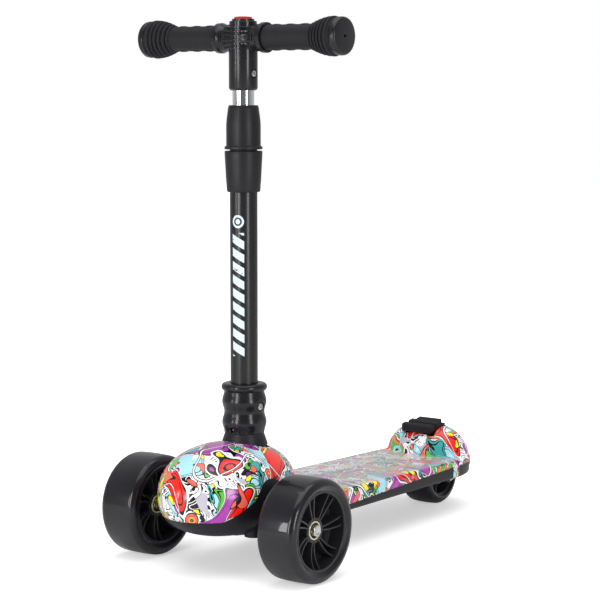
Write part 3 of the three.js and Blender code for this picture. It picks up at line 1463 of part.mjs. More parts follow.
// Height button: the red cap, its spring and the release rod inside the inner tube
function addHeightButton() {
  const skirtInner = button.radius - button.skirtWall;
  const ceiling = buttonTop - button.crown * 2;
  const stemEnd = buttonBottom - button.stemDrop;
  const profile = [
    [0, stemEnd],
    [button.stemRadius, stemEnd],
    [button.stemRadius, ceiling],
    [skirtInner, ceiling],
    [skirtInner, buttonBottom],
    [button.radius, buttonBottom],
    [button.radius, buttonTop - button.crown],
    [button.radius - button.crown, buttonTop - button.crown / 4],
    [button.radius / 2, buttonTop],
    [0, buttonTop],
  ];
  addNode('height_button', moved(turned(profile, 'z', 20), 0, stemY, 0), colours.red);
  const springInner = button.stemRadius + runningGap;
  const springOuter = skirtInner - runningGap * 2;
  const spring = tube(springInner, springOuter, wellFloor + fitGap, ceiling - fitGap, 'z');
  addNode('button_spring', moved(spring, 0, stemY, 0), colours.steel);
  const rodTopZ = stemEnd - fitGap;
  const rodBottomZ = bushFlangeBottom + bush.plugHeight + button.travel + button.rodPlay;
  const releaseRod = rod(button.stemRadius, rodBottomZ, rodTopZ, 'z');
  addNode('release_rod', moved(releaseRod, 0, stemY, 0), colours.steel);
}
addHeightButton();

export default scooter;
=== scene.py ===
"""Looks of a three-wheel kids' scooter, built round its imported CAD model.

Sizes are in millimetres, in the frame of the CAD model: Z is up, the front of the scooter
faces -Y and the origin is on the ground. Each finished mesh is scaled to metres.
"""

import math

import bmesh
import bpy
import numpy as np
from mathutils import Matrix, Vector


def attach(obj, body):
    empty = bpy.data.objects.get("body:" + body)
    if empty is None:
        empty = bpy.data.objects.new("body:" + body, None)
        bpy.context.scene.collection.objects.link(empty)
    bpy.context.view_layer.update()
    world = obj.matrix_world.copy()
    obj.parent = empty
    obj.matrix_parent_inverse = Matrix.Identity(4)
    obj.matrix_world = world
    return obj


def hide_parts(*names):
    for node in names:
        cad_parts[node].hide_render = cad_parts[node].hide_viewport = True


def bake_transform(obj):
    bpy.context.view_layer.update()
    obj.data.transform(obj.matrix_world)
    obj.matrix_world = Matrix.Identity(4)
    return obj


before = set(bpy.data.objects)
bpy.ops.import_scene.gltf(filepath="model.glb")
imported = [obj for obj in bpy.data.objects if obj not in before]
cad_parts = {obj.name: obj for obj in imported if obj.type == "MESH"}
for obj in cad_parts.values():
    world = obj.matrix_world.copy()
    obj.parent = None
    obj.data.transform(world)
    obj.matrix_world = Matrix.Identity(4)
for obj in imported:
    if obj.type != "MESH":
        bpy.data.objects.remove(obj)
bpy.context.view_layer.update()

# DECK SHELLS
# The deck, the front dome and the tail dome are one hollow form, moulded as two shells: a
# printed glossy cover above a satin black base. They meet along one parting line and are
# screwed together from below. The form's own formula gives the skin and the inner wall.
front_axle_y = -195.5
rear_axle_y = 241.5
stem_y = -158.3
front_axle_z = 60
rear_axle_z = 40
tail_y = 285.5
shell_wall = 3
fit_gap = 0.3
overrun = 20
hull_reach = 240
front_dome = dict(y=-189.5, z=88, half=71, front=96, rear=94, up=57, down=48, plan=1.95, side=2.3, drop=5)
tail_dome = dict(y=236.3, z=61, half=60.4, front=36.1, rear=49.2, up=48, down=16, plan=1.85, side=2.17,
                 drop=0)
dome_end = front_dome["y"] + front_dome["rear"]
deck = dict(half=66.5, top_front=77, top_rear=70, bottom=44, front_y=-135.5, rear_y=199.5,
            front_round=70, rear_round=86, plan=2.3, square=8, inner_square=4)
front_fillet = 12
tail_fillet = 6


def smooth_step(start, end, at):
    share = np.clip((at - start) / (end - start), 0, 1)
    return share * share * (3 - 2 * share)


def dome_distance(dome, x, y, z, inset):
    """Below zero inside a dome whose plan and side views are superellipses."""
    along = y - dome["y"]
    rise = z - dome["z"]
    reach = np.where(along < 0, dome["front"], dome["rear"]) - inset
    drop = dome["down"] * (1 + dome["drop"] * smooth_step(dome["y"], dome["y"] + dome["rear"] / 2, y))
    height = np.where(rise > 0, dome["up"], drop) - inset
    plan = (np.abs(x / (dome["half"] - inset)) ** dome["plan"]
            + np.abs(along / reach) ** dome["plan"]) ** (1 / dome["plan"])
    size = (plan ** dome["side"] + np.abs(rise / height) ** dome["side"]) ** (1 / dome["side"])
    return np.sqrt(x * x + along * along + rise * rise) * (1 - 1 / np.maximum(size, 1e-6))


def deck_top(y):
    share = (y - deck["front_y"]) / (deck["rear_y"] - deck["front_y"])
    return deck["top_front"] + (deck["top_rear"] - deck["top_front"]) * share


def deck_middle(y):
    return (deck_top(y) + deck["bottom"]) / 2


def deck_half_width(y, inset):
    into_front = np.clip((deck["front_y"] - y) / (deck["front_round"] - inset), 0, 1)
    into_rear = np.clip((y - deck["rear_y"]) / (deck["rear_round"] - inset), 0, 1)
    into = np.maximum(into_front, into_rear)
    return (deck["half"] - inset) * (1 - into ** deck["plan"]) ** (1 / deck["plan"])


def deck_distance(x, y, z, inset):
    half = deck_half_width(y, inset)
    rise = z - deck_middle(y)
    height = (deck_top(y) - deck["bottom"]) / 2 - inset
    square = deck["inner_square"] if inset else deck["square"]
    size = (np.abs(x / np.maximum(half, 1e-3)) ** square + np.abs(rise / height) ** square) ** (1 / square)
    distance = np.sqrt(x * x + rise * rise) * (1 - 1 / np.maximum(size, 1e-6))
    return np.where(half > 1, distance, hull_reach)


def filleted(a, b, reach):
    """Two forms as one, with a rounded meeting as wide as the reach."""
    if reach == 0:
        return np.minimum(a, b)
    near = np.maximum(reach - np.abs(a - b), 0)
    return np.minimum(a, b) - near * near / (4 * reach)


def hull_distance(x, y, z, inset):
    """Below zero inside the form. Only the skin has fillets, not the inner wall."""
    fillet_share = 0 if inset else 1
    slab = deck_distance(x, y, z, inset)
    with_tail = filleted(slab, dome_distance(tail_dome, x, y, z, inset), tail_fillet * fillet_share)
    whole = filleted(with_tail, dome_distance(front_dome, x, y, z, inset), front_fillet * fillet_share)
    front_bottom = front_dome["z"] - front_dome["down"]
    over_deck = smooth_step(front_dome["y"], dome_end, y)
    underside = front_bottom + (deck["bottom"] - front_bottom) * over_deck + inset
    return np.maximum(whole, underside - z)


def hull_station(share, inset):
    """Place along the length: close at the nose, at the domes' feet and at the tail."""
    nose = front_dome["front"] - inset
    tail = tail_dome["rear"] - inset
    tail_start = tail_dome["y"] - tail_dome["front"]
    zone_ends = [0, 0.24, 0.46, 0.62, 0.8, 1]
    zone = np.clip(np.searchsorted(zone_ends, share, side="right") - 1, 0, 4)
    zone_start = np.take(zone_ends, zone)
    local = (share - zone_start) / (np.take(zone_ends, zone + 1) - zone_start)
    quarter = local * math.pi / 2
    return np.choose(zone, [
        front_dome["y"] - nose * np.cos(quarter),
        front_dome["y"] + front_dome["rear"] * np.sin(quarter),
        dome_end + (tail_start - dome_end) * local,
        tail_dome["y"] - tail_dome["front"] * np.cos(quarter),
        tail_dome["y"] + tail * np.sin(quarter),
    ])


def hull_angle(share, y):
    """Angle round the section. Along the deck the rays gather at the slab's corners."""
    turn = share * 4
    quarter = np.floor(np.minimum(turn, 3.9999))
    into = turn - quarter
    into = np.where(quarter % 2 == 0, into, 1 - into)
    height = np.where(quarter < 2, deck_top(y) - deck_middle(y), deck_middle(y) - deck["bottom"])
    corner = np.arctan2(height, np.maximum(deck_half_width(y, 0), height))
    gathered = np.where(
        into < 0.25, corner * 0.8 * into / 0.25,
        np.where(into < 0.5, corner * (0.8 + 0.4 * (into - 0.25) / 0.25),
                 corner * 1.2 + (math.pi / 2 - corner * 1.2) * (into - 0.5) / 0.5))
    over_deck = smooth_step(front_dome["y"], dome_end, y)
    angle = into * math.pi / 2 * (1 - over_deck) + gathered * over_deck
    angle = np.where(quarter % 2 == 0, angle, math.pi - angle)
    return np.where(quarter >= 2, angle + math.pi, angle)


def hull_shape(inset, stations, rays):
    """The closed skin of the hull, or its inner wall: a grid wrapped round the form."""
    shape = bmesh.new()
    bmesh.ops.create_grid(shape, x_segments=stations, y_segments=rays, size=1)
    flat = np.array([vert.co[:] for vert in shape.verts])
    y = hull_station((flat[:, 0] + 1) / 2, inset)
    angle = hull_angle((flat[:, 1] + 1) / 2, y)
    over_deck = smooth_step(dome_end - front_dome["rear"] / 2, dome_end, y)
    centre = front_dome["z"] + (deck_middle(y) - front_dome["z"]) * over_deck
    inside = np.zeros(len(flat))
    outside = np.full(len(flat), float(hull_reach))
    for halving in range(30):
        half_way = (inside + outside) / 2
        held = hull_distance(half_way * np.cos(angle), y, centre + half_way * np.sin(angle), inset) < 0
        inside = np.where(held, half_way, inside)
        outside = np.where(held, outside, half_way)
    at_ends = np.abs(flat[:, 0]) > 0.9999
    inside = np.where(at_ends, 0, inside)
    for vert, reach, turn, along, up in zip(shape.verts, inside, angle, y, centre):
        vert.co = (reach * math.cos(turn), along, up + reach * math.sin(turn))
    bmesh.ops.remove_doubles(shape, verts=shape.verts, dist=0.001)
    bmesh.ops.recalc_face_normals(shape, faces=shape.faces)
    return shape


def combined(operation, shape, *tools):
    """Works on one closed shape with others, one after another. The tools are used up."""
    for tool in tools:
        blanks = []
        for part in (shape, tool):
            mesh = bpy.data.meshes.new("blank")
            part.to_mesh(mesh)
            part.free()
            blank = bpy.data.objects.new("blank", mesh)
            bpy.context.scene.collection.objects.link(blank)
            blanks.append(blank)
        modifier = blanks[0].modifiers.new("cut", "BOOLEAN")
        modifier.operation = operation
        modifier.object = blanks[1]
        modifier.solver = "EXACT"
        depsgraph = bpy.context.evaluated_depsgraph_get()
        shape = bmesh.new()
        shape.from_mesh(blanks[0].evaluated_get(depsgraph).to_mesh())
        bmesh.ops.remove_doubles(shape, verts=shape.verts, dist=0.0005)
        for blank in blanks:
            mesh = blank.data
            bpy.data.objects.remove(blank)
            bpy.data.meshes.remove(mesh)
    return shape


def cut(shape, *tools):
    return combined("DIFFERENCE", shape, *tools)


def united(shape, *tools):
    return combined("UNION", shape, *tools)


def moved(shape, x, y, z):
    bmesh.ops.translate(shape, verts=shape.verts, vec=(x, y, z))
    return shape


def on_stem(shape, z=0):
    """Carries a shape made round the origin to the column's axis."""
    return moved(shape, 0, stem_y, z)


def span(side, near, far):
    """Two distances from the middle on one side, with the lower place first."""
    return sorted((side * near, side * far))


def side_prism(outline, from_x, to_x):
    """An outline drawn in the side view as (y, z) points, carried from one X to another."""
    shape = bmesh.new()
    face = shape.faces.new([shape.verts.new((from_x, y, z)) for y, z in outline])
    swept = bmesh.ops.extrude_face_region(shape, geom=[face])
    far = [item for item in swept["geom"] if isinstance(item, bmesh.types.BMVert)]
    bmesh.ops.translate(shape, verts=far, vec=(to_x - from_x, 0, 0))
    bmesh.ops.recalc_face_normals(shape, faces=shape.faces)
    return shape


def block(from_x, to_x, from_y, to_y, from_z, to_z):
    return side_prism([(from_y, from_z), (to_y, from_z), (to_y, to_z), (from_y, to_z)], from_x, to_x)


def turned(profile, axis="z", steps=64):
    """A profile of (radius, place along the axis) points, spun all the way round."""
    shape = bmesh.new()
    points = [shape.verts.new((radius, 0, along)) for radius, along in profile]
    on_axis = profile[0][0] == 0
    nexts = points[1:] if on_axis else points[1:] + points[:1]
    lines = [shape.edges.new(pair) for pair in zip(points, nexts)]
    bmesh.ops.spin(shape, geom=points + lines, cent=(0, 0, 0), axis=(0, 0, 1), angle=math.tau,
                   steps=steps, use_merge=True)
    bmesh.ops.remove_doubles(shape, verts=shape.verts, dist=0.0005)
    if axis != "z":
        angle, about = (math.pi / 2, "Y") if axis == "x" else (-math.pi / 2, "X")
        bmesh.ops.rotate(shape, verts=shape.verts, cent=(0, 0, 0), matrix=Matrix.Rotation(angle, 3, about))
    bmesh.ops.recalc_face_normals(shape, faces=shape.faces)
    return shape


def rod(radius, start, end, axis="z", steps=32):
    return turned([(0, start), (radius, start), (radius, end), (0, end)], axis, steps)


def finished(name, shape, material, smooth_under=35):
    """Makes the shape an object in metres, smooth between its sharp edges."""
    bmesh.ops.scale(shape, verts=shape.verts, vec=(0.001, 0.001, 0.001))
    for face in shape.faces:
        face.smooth = True
    for edge in shape.edges:
        edge.smooth = len(edge.link_faces) == 2 and edge.calc_face_angle(0) < math.radians(smooth_under)
    mesh = bpy.data.meshes.new(name)
    shape.to_mesh(mesh)
    shape.free()
    mesh.materials.append(material)
    piece = bpy.data.objects.new(name, mesh)
    bpy.context.scene.collection.objects.link(piece)
    return piece


def placed(name, shape, material, body, slot, *nodes):
    """A finished piece that stands for CAD nodes and moves with their body."""
    piece = finished(name, shape, material)
    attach(piece, body)
    if nodes:
        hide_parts(*nodes)


def linear(red, green, blue):
    """A colour as the eye reads it on a screen, 0 to 255, as a shader colour."""
    return tuple((part / 255) ** 2.2 for part in (red, green, blue)) + (1,)


def shaded(colour, share):
    return tuple(part * share for part in colour[:3]) + (1,)


class Nodes:
    """Adds nodes to a shader tree. An input is given a value or another node's output."""

    def __init__(self, tree):
        self.tree = tree

    def feed(self, made, inputs):
        for at, value in inputs.items():
            if isinstance(value, bpy.types.NodeSocket):
                self.tree.links.new(value, made.inputs[at])
            else:
                made.inputs[at].default_value = value

    def surface(self, inputs):
        self.feed(self.tree.nodes["Principled BSDF"], inputs)

    def add(self, kind, inputs=None, **settings):
        made = self.tree.nodes.new("ShaderNode" + kind)
        for name, value in settings.items():
            setattr(made, name, value)
        self.feed(made, inputs or {})
        return made.outputs

    def math(self, operation, first, second=0, clamp=False):
        return self.add("Math", {0: first, 1: second}, operation=operation, use_clamp=clamp)[0]

    def near(self, value, level, reach):
        """1 where a value is within reach of a level, and 0 elsewhere."""
        away = self.math("ABSOLUTE", self.math("SUBTRACT", value, level))
        return self.math("LESS_THAN", away, reach)

    def vector(self, operation, inputs, output=0):
        return self.add("VectorMath", inputs, operation=operation)[output]

    def noise(self, vector, scale, detail=2, output="Fac"):
        return self.add("TexNoise", {"Vector": vector, "Scale": scale, "Detail": detail})[output]

    def ranged(self, value, to_low, to_high, from_low=0, from_high=1):
        return self.add("MapRange", {"Value": value, "From Min": from_low, "From Max": from_high,
                                     "To Min": to_low, "To Max": to_high})["Result"]

    def over(self, below, above, share):
        """One colour laid over another where the share is 1."""
        return self.add("Mix", {0: share, 6: below, 7: above}, data_type="RGBA")[2]

    def ramp(self, value, stops, interpolation="LINEAR"):
        """Colours that follow a value, as (place, colour) stops from low to high."""
        made = self.tree.nodes.new("ShaderNodeValToRGB")
        made.color_ramp.interpolation = interpolation
        elements = made.color_ramp.elements
        elements.remove(elements[1])
        elements[0].position, elements[0].color = stops[0]
        for start, colour in stops[1:]:
            elements.new(start).color = colour
        self.feed(made, {"Fac": value})
        return made.outputs["Color"]

    def relief(self, height, strength, distance):
        return self.add("Bump", {"Height": height, "Strength": strength, "Distance": distance})["Normal"]


def new_material(name):
    """A material, the means to add nodes to it, and the place on the object they start from."""
    material = bpy.data.materials.new(name)
    material.use_nodes = True
    look = Nodes(material.node_tree)
    return material, look, look.add("TexCoord")["Object"]


def moulded_plastic(name, colour, roughness, grain_size, grain_depth, coat=0.0):
    """Moulded plastic or rubber: a fine sand grain, patches of shine and a little colour drift."""
    material, look, place = new_material(name)
    drift = look.noise(place, 28, 5)
    grain = look.noise(place, 1000 / grain_size, 3)
    look.surface({
        "Base Color": look.ramp(drift, [(0.3, shaded(colour, 0.85)), (0.75, shaded(colour, 1.18))]),
        "Roughness": look.ranged(drift, roughness - 0.07, roughness + 0.07),
        "Normal": look.relief(grain, grain_depth, 0.0002),
        "Specular IOR Level": 0.25, "Coat Weight": coat, "Coat Roughness": 0.12})
    return material


def printed_gloss():
    """White plastic with a film print under gloss. The print is free drawing: flat coloured
    blobs outlined in ink, rainbow bands, ink patches, pen strokes and rings on white."""
    material, look, place = new_material("printed_gloss")
    white = linear(246, 245, 248)
    ink = linear(14, 13, 17)
    red = linear(240, 38, 28)
    coral = linear(238, 100, 82)
    orange = linear(244, 156, 62)
    yellow = linear(244, 232, 36)
    green = linear(92, 182, 66)
    sky = linear(164, 220, 234)
    teal = linear(64, 164, 160)
    purple = linear(172, 60, 168)
    plum = linear(104, 44, 106)
    grey = linear(186, 182, 194)
    scuffed = linear(206, 198, 208)
    inner_line = 0.009
    brush_level = 0.47
    flat_facing = 0.96
    tread_top = 0.082

    def bent(size, reach):
        """The place on the object pushed about by a soft noise, so that lines drawn in it waver."""
        push = look.noise(place, 1000 / size, 0, "Color")
        centred = look.vector("SUBTRACT", {0: push, 1: (0.5, 0.5, 0.5)})
        scaled = look.vector("SCALE", {0: centred, "Scale": reach / 1000})
        return look.vector("ADD", {0: place, 1: scaled})

    def shifted(vector, layer):
        return look.vector("ADD", {0: vector, 1: (layer * 0.37, layer * 0.53, layer * 0.71)})

    def cloud(vector, layer, size, detail=0):
        """A soft noise with features of so many millimetres, its own for each layer."""
        return look.noise(shifted(vector, layer), 1000 / size, detail)

    def above(value, level):
        return look.math("GREATER_THAN", value, level)

    def strokes(layer, size, lines, width):
        """Pen lines along the contours of a soft noise, thick where it is flat."""
        contours = look.math("MULTIPLY", cloud(drawn, layer, size, 0.6), lines)
        return look.math("LESS_THAN", look.math("FRACT", contours), width)

    def plain(fill):
        return lambda rise: fill

    def lined(fill, level):
        """One colour with an ink line inside it, where the noise has risen by so much."""
        return lambda rise: look.over(fill, ink, look.near(rise, level, inner_line))

    def rainbow(rise):
        return look.ramp(look.math("MULTIPLY", rise, 6.2, clamp=True), [
            (0, coral), (0.16, ink), (0.19, orange), (0.33, ink), (0.36, green), (0.52, ink), (0.55, sky),
            (0.76, ink), (0.79, white)], "CONSTANT")

    drawn = bent(26, 26)
    loose = bent(60, 40)

    # White ground with fine pen strokes, and patches where ink covers it between white strokes
    ground = look.over(white, ink, strokes(1, 17, 10, 0.27))
    ground = look.over(ground, grey, above(cloud(drawn, 2, 21), 0.66))
    dark_ground = look.over(ink, white, strokes(3, 15, 8, 0.26))
    colour = look.over(ground, dark_ground, above(cloud(loose, 4, 40), 0.565))

    # Rings and dots, one to a cell, in a few of the cells
    cell = look.add("TexVoronoi", {"Vector": shifted(place, 5), "Scale": 1000 / 13, "Randomness": 0.85})
    chance = look.add("SeparateColor", {"Color": cell["Color"]})
    ring_colours = look.ramp(chance["Green"], [
        (0, white), (0.25, yellow), (0.4, red), (0.55, sky), (0.7, plum), (0.85, yellow)], "CONSTANT")
    has_ring = above(chance["Red"], 0.62)
    for paint, radius in ((ink, 0.36), (ring_colours, 0.27), (ink, 0.09)):
        disc = look.math("LESS_THAN", cell["Distance"], radius)
        colour = look.over(colour, paint, look.math("MULTIPLY", has_ring, disc))

    # Flat shapes where a soft noise is high, each inside an ink outline and most of them inside a
    # white rim: how they are filled, space, layer, size, level, and widths of outline and rim
    for filled, space, layer, size, level, outline, rim in (
            (lined(sky, 0.05), loose, 7, 29, 0.61, 0.02, 0.02),
            (lined(green, 0.04), drawn, 8, 25, 0.66, 0.02, 0),
            (lined(purple, 0.06), loose, 9, 30, 0.61, 0.02, 0.018),
            (rainbow, loose, 11, 34, 0.65, 0.016, 0.02),
            (lined(teal, 0.04), drawn, 12, 23, 0.69, 0.02, 0),
            (lined(red, 0.05), loose, 13, 34, 0.66, 0.02, 0.018),
            (plain(coral), drawn, 15, 20, 0.73, 0.024, 0),
            (plain(yellow), drawn, 16, 14, 0.735, 0.032, 0)):
        field = cloud(space, layer, size)
        if rim:
            colour = look.over(colour, white, above(field, level - outline - rim))
        colour = look.over(colour, ink, above(field, level - outline))
        fill = filled(look.math("SUBTRACT", field, level))
        colour = look.over(colour, fill, above(field, level))

    # A few broad brush strokes drawn over everything, white inside their outlines
    brush = cloud(loose, 18, 62)
    colour = look.over(colour, ink, look.near(brush, brush_level, 0.0135))
    colour = look.over(colour, white, look.near(brush, brush_level, 0.0065))

    # The flat of the deck: scuffed by shoes, so greyer and paler than the sides
    height = look.add("SeparateXYZ", {"Vector": place})["Z"]
    facing_up = look.add("SeparateXYZ", {"Vector": look.add("NewGeometry")["Normal"]})["Z"]
    tread = look.math("MULTIPLY", above(facing_up, flat_facing), look.math("LESS_THAN", height, tread_top))
    scuff_noise = look.noise(place, 1000 / 17, 6)
    scuff = look.math("ADD", look.math("MULTIPLY", scuff_noise, 0.5), 0.16, clamp=True)
    worn = look.math("MULTIPLY", tread, scuff)

    # Fine dots moulded into the standing area, and a faint ripple in the gloss elsewhere
    dots = look.add("TexVoronoi", {"Vector": place, "Scale": 1000 / 3.2, "Randomness": 0})
    dot_rise = look.math("MULTIPLY", tread, look.math("LESS_THAN", dots["Distance"], 0.3))
    rise = look.math("ADD", dot_rise, look.math("MULTIPLY", scuff_noise, 0.1))
    look.surface({
        "Base Color": look.over(colour, scuffed, worn),
        "Roughness": look.math("ADD", look.math("MULTIPLY", worn, 0.3), 0.2),
        "Normal": look.relief(rise, 0.5, 0.0003),
        "Specular IOR Level": 0.4, "Coat Weight": 0.3, "Coat Roughness": 0.07})
    return material


# The parting line in the side view. It rises in an arch round each knuckle, and behind the
# deck the cover hangs down in a tab on either side.
parting_nose = 68
parting_front = 53
parting_rear = 61.5
arch = ((60, 0), (27, 22), (15, 38), (6, 43))
arch_half = arch[0][0]
arch_rear_foot = 61
tab_inner = 44
tab_from_y = rear_axle_y - 45
tab_to_y = rear_axle_y - 30


def below_parting(grown):
    """All that is under the parting line, raised by so much, less the room of the two tabs."""
    beyond = tail_y + overrun
    arch_rear = [(front_axle_y + half, parting_nose + rise + grown) for half, rise in arch[1:]]
    arch_front = [(front_axle_y - half, parting_nose + rise + grown) for half, rise in reversed(arch)]
    outline = [
        (-beyond, -overrun), (beyond, -overrun), (beyond, parting_rear + grown),
        (tab_from_y, parting_rear + grown),
        (front_axle_y + arch_half * 2, parting_front + grown),
        (front_axle_y + arch_half, arch_rear_foot + grown),
    ] + arch_rear + arch_front + [(-beyond, parting_nose + grown)]
    tabs = [block(*span(side, tab_inner - grown, hull_reach), tab_from_y + grown, tab_to_y - grown,
                  -overrun * 2, front_dome["z"]) for side in (-1, 1)]
    return cut(side_prism(outline, -hull_reach, hull_reach), *tabs)


def hull_wall():
    return cut(hull_shape(0, 150, 112), hull_shape(shell_wall, 60, 48))


column_hole = (30.5, 28.4)
brake_window = dict(half=24, from_y=rear_axle_y - 29, to_y=rear_axle_y + 8.5, bottom=95, top=130)
above_domes = 180
opening = rod(column_hole[0], front_dome["z"], above_domes, steps=72)
bmesh.ops.scale(opening, verts=opening.verts, vec=(1, column_hole[1] / column_hole[0], 1))
cover = cut(
    hull_wall(), below_parting(fit_gap), on_stem(opening),
    block(-brake_window["half"], brake_window["half"], brake_window["from_y"], brake_window["to_y"],
          brake_window["bottom"], brake_window["top"]))
placed("deck_printed_cover", cover, printed_gloss(), "chassis", "printed_shell", "deck_cover")

kingpin_x = 42
boss_bottom = 41.5
boss_top = 49
boss_radius = 10.5
pin_room = dict(radius=7.8, depth=5.3)
arm_half_y = 15.5
arm_half_z = 10
fork_inner = 27
fork_outer = 32
wheel_room = dict(front=46, rear=41.2, top=53)
axle_room = dict(half=52, reach=8, top=48)
axle_hole = 4.3
brake_pin_hole = 2.8
clear = 60
brake_pivot_y = rear_axle_y - 43
brake_pivot_z = 60
arm_outline = []
for quarter, side in ((-0.5, 1), (0.5, -1)):
    for step in range(13):
        angle = math.pi * (quarter + step / 12)
        arm_outline.append((front_axle_y + side * (arm_half_y - arm_half_z) + arm_half_z * math.cos(angle),
                            front_axle_z + arm_half_z * math.sin(angle)))
plate_outline = [
    (rear_axle_y - 60, 44), (rear_axle_y - 16, 44), (rear_axle_y - 8, 34), (rear_axle_y - 4.4, 31),
    (rear_axle_y, 30), (rear_axle_y + 4.4, 31), (rear_axle_y + 8, 34), (rear_axle_y + 22, 44),
    (rear_axle_y + 22, 53), (brake_pivot_y + 4.6, 60), (brake_pivot_y + 3.2, 63.2),
    (brake_pivot_y, 64.6), (brake_pivot_y - 3.2, 63.2), (brake_pivot_y - 4.6, 60), (rear_axle_y - 60, 50),
]
satin_charcoal = moulded_plastic("satin_charcoal", linear(34, 33, 37), 0.4, 0.5, 0.25)
base = combined("INTERSECT", hull_wall(), below_parting(0))
for side in (-1, 1):
    boss = moved(rod(boss_radius, boss_bottom, boss_top), side * kingpin_x, front_axle_y, 0)
    room = rod(pin_room["radius"], -overrun, boss_bottom + pin_room["depth"])
    base = cut(united(base, boss), side_prism(arm_outline, *span(side, kingpin_x, 120)),
               moved(room, side * kingpin_x, front_axle_y, 0))
base = cut(
    base,
    block(-fork_inner, fork_inner, rear_axle_y - wheel_room["front"], rear_axle_y + wheel_room["rear"],
          -overrun, wheel_room["top"]),
    block(-axle_room["half"], axle_room["half"], rear_axle_y - axle_room["reach"],
          rear_axle_y + axle_room["reach"], -overrun, axle_room["top"]))
for side in (-1, 1):
    base = united(base, side_prism(plate_outline, *span(side, fork_inner, fork_outer)))
base = cut(base, moved(rod(axle_hole, -clear, clear, "x"), 0, rear_axle_y, rear_axle_z),
           moved(rod(brake_pin_hole, -clear, clear, "x"), 0, brake_pivot_y, brake_pivot_z))
placed("deck_black_base", base, satin_charcoal, "chassis", "charcoal_plastic", "deck_base")

# FRONT MECHANISM
# Under the dome a moulded bracket holds two steel kingpins. The knuckles swing on them, drawn
# together by a flat tie rod, and the column's lever pushes the rod when the rider leans.
inner_nylon = moulded_plastic("inner_nylon", linear(32, 32, 35), 0.5, 0.7, 0.35)


def metal(name, colour, roughness, brush, relief_depth=0.15):
    """Plated steel: fine scratches along one way, and faint cloudy patches in its shine."""
    material, look, place = new_material(name)
    scratch = look.noise(look.add("Mapping", {"Vector": place, "Scale": brush})["Vector"], 400, 4)
    look.surface({
        "Base Color": look.ramp(look.noise(place, 90), [(0, shaded(colour, 0.9)), (1, colour)]),
        "Roughness": look.ranged(scratch, roughness - 0.05, roughness + 0.08),
        "Normal": look.relief(scratch, relief_depth, 0.00005),
        "Metallic": 1})
    return material


bright_zinc = metal("bright_zinc", linear(206, 206, 204), 0.26, (1, 1, 4))
yellow_zinc = metal("yellow_zinc", linear(226, 219, 184), 0.3, (4, 1, 1))


def softened(shape, width, segments=2, over=30):
    """Rounds every edge that turns more than so many degrees."""
    sharp = [edge for edge in shape.edges
             if len(edge.link_faces) == 2 and edge.calc_face_angle(0) > math.radians(over)]
    bmesh.ops.bevel(shape, geom=sharp, offset=width, offset_type="OFFSET", segments=segments,
                    profile=0.5, affect="EDGES", material=-1, clamp_overlap=True)
    return shape


def refined(node, material, body, slot, edge_width=0.4):
    """The CAD solid itself, merged to one skin, with its corners rounded."""
    shape = bmesh.new()
    shape.from_mesh(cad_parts[node].data)
    bmesh.ops.scale(shape, verts=shape.verts, vec=(1000, 1000, 1000))
    bmesh.ops.remove_doubles(shape, verts=shape.verts, dist=0.002)
    bmesh.ops.dissolve_limit(shape, angle_limit=math.radians(1), verts=shape.verts, edges=shape.edges)
    placed(node + "_finished", softened(shape, edge_width, 1, 50), material, body, slot, node)


refined("pivot_bracket", inner_nylon, "chassis", "inner_plastic")
for swinging in ("tie_rod", "left_knuckle", "right_knuckle"):
    refined(swinging, inner_nylon, swinging, "inner_plastic")
for plated in ("left_kingpin", "right_kingpin", "lean_pin", "lean_pin_nut"):
    refined(plated, bright_zinc, "chassis", "steel", 0.3)

# WHEELS
# Each wheel is a smoke-grey cast tyre on a glossy black hub. The hub's thin ribs stand in pairs,
# nearly straight out, with a hollow outer edge. Two sealed ball bearings sit in the boss on a
# spacer, and an M8 bolt holds the wheel.
front_wheel = dict(radius=60, width=52.5, shoulder=8.3, rim=46, rim_width=47.4, wall=3, boss=15,
                   boss_width=27.6, pairs=7, spread=0.12, sweep=0.12)
rear_wheel = dict(radius=40, width=46, shoulder=9, rim=28, rim_width=39, wall=2.5, boss=14.5,
                  boss_width=32, pairs=3, spread=0.2, sweep=0.15)
wheel_x = 115.75
bearing_radius = 11
bearing_width = 7
tread_crown = 0.5
half_web = 2
rib_width = 1.8
rib_hollow = 1.6
rib_at_rim = 0.86


def cast_smoke():
    """Cast polyurethane: glossy, smoky and slightly cloudy below the surface."""
    material, look, place = new_material("cast_smoke")
    smoke = look.ramp(look.noise(place, 22, 3), [(0.3, linear(20, 19, 23)), (0.8, linear(33, 31, 38))])
    look.surface({
        "Base Color": smoke,
        "Normal": look.relief(look.noise(place, 55), 0.06, 0.001),
        "Roughness": 0.32, "Specular IOR Level": 0.25, "Coat Weight": 0.45, "Coat Roughness": 0.05})
    return material


smoke_tyre = cast_smoke()
hub_black = moulded_plastic("hub_black", linear(40, 40, 43), 0.28, 1.2, 0.08, coat=0.15)
seal_black = moulded_plastic("seal_black", linear(28, 26, 26), 0.5, 0.4, 0.2)


def both_ends(half):
    """A profile that goes on as its own mirror image, past the middle of the axis."""
    return half + [(radius, -along) for radius, along in reversed(half)]


def tyre_shape(wheel):
    half_width = wheel["width"] / 2
    half_rim = wheel["rim_width"] / 2
    bore = wheel["rim"] + fit_gap
    shoulder = wheel["shoulder"]
    edge_radius = wheel["radius"] - tread_crown - shoulder
    half = [(bore, half_rim - 0.2), (bore + 1.2, half_rim + 0.6), (edge_radius - 1, half_width - 0.25)]
    for step in range(13):
        angle = math.radians(90 - step / 12 * 90)
        half.append((edge_radius + shoulder * math.cos(angle),
                     half_width - shoulder + shoulder * math.sin(angle)))
    for share in (0.8, 0.6, 0.4, 0.2):
        half.append((wheel["radius"] - tread_crown * share * share, (half_width - shoulder) * share))
    return turned(both_ends(half), "x", 128)


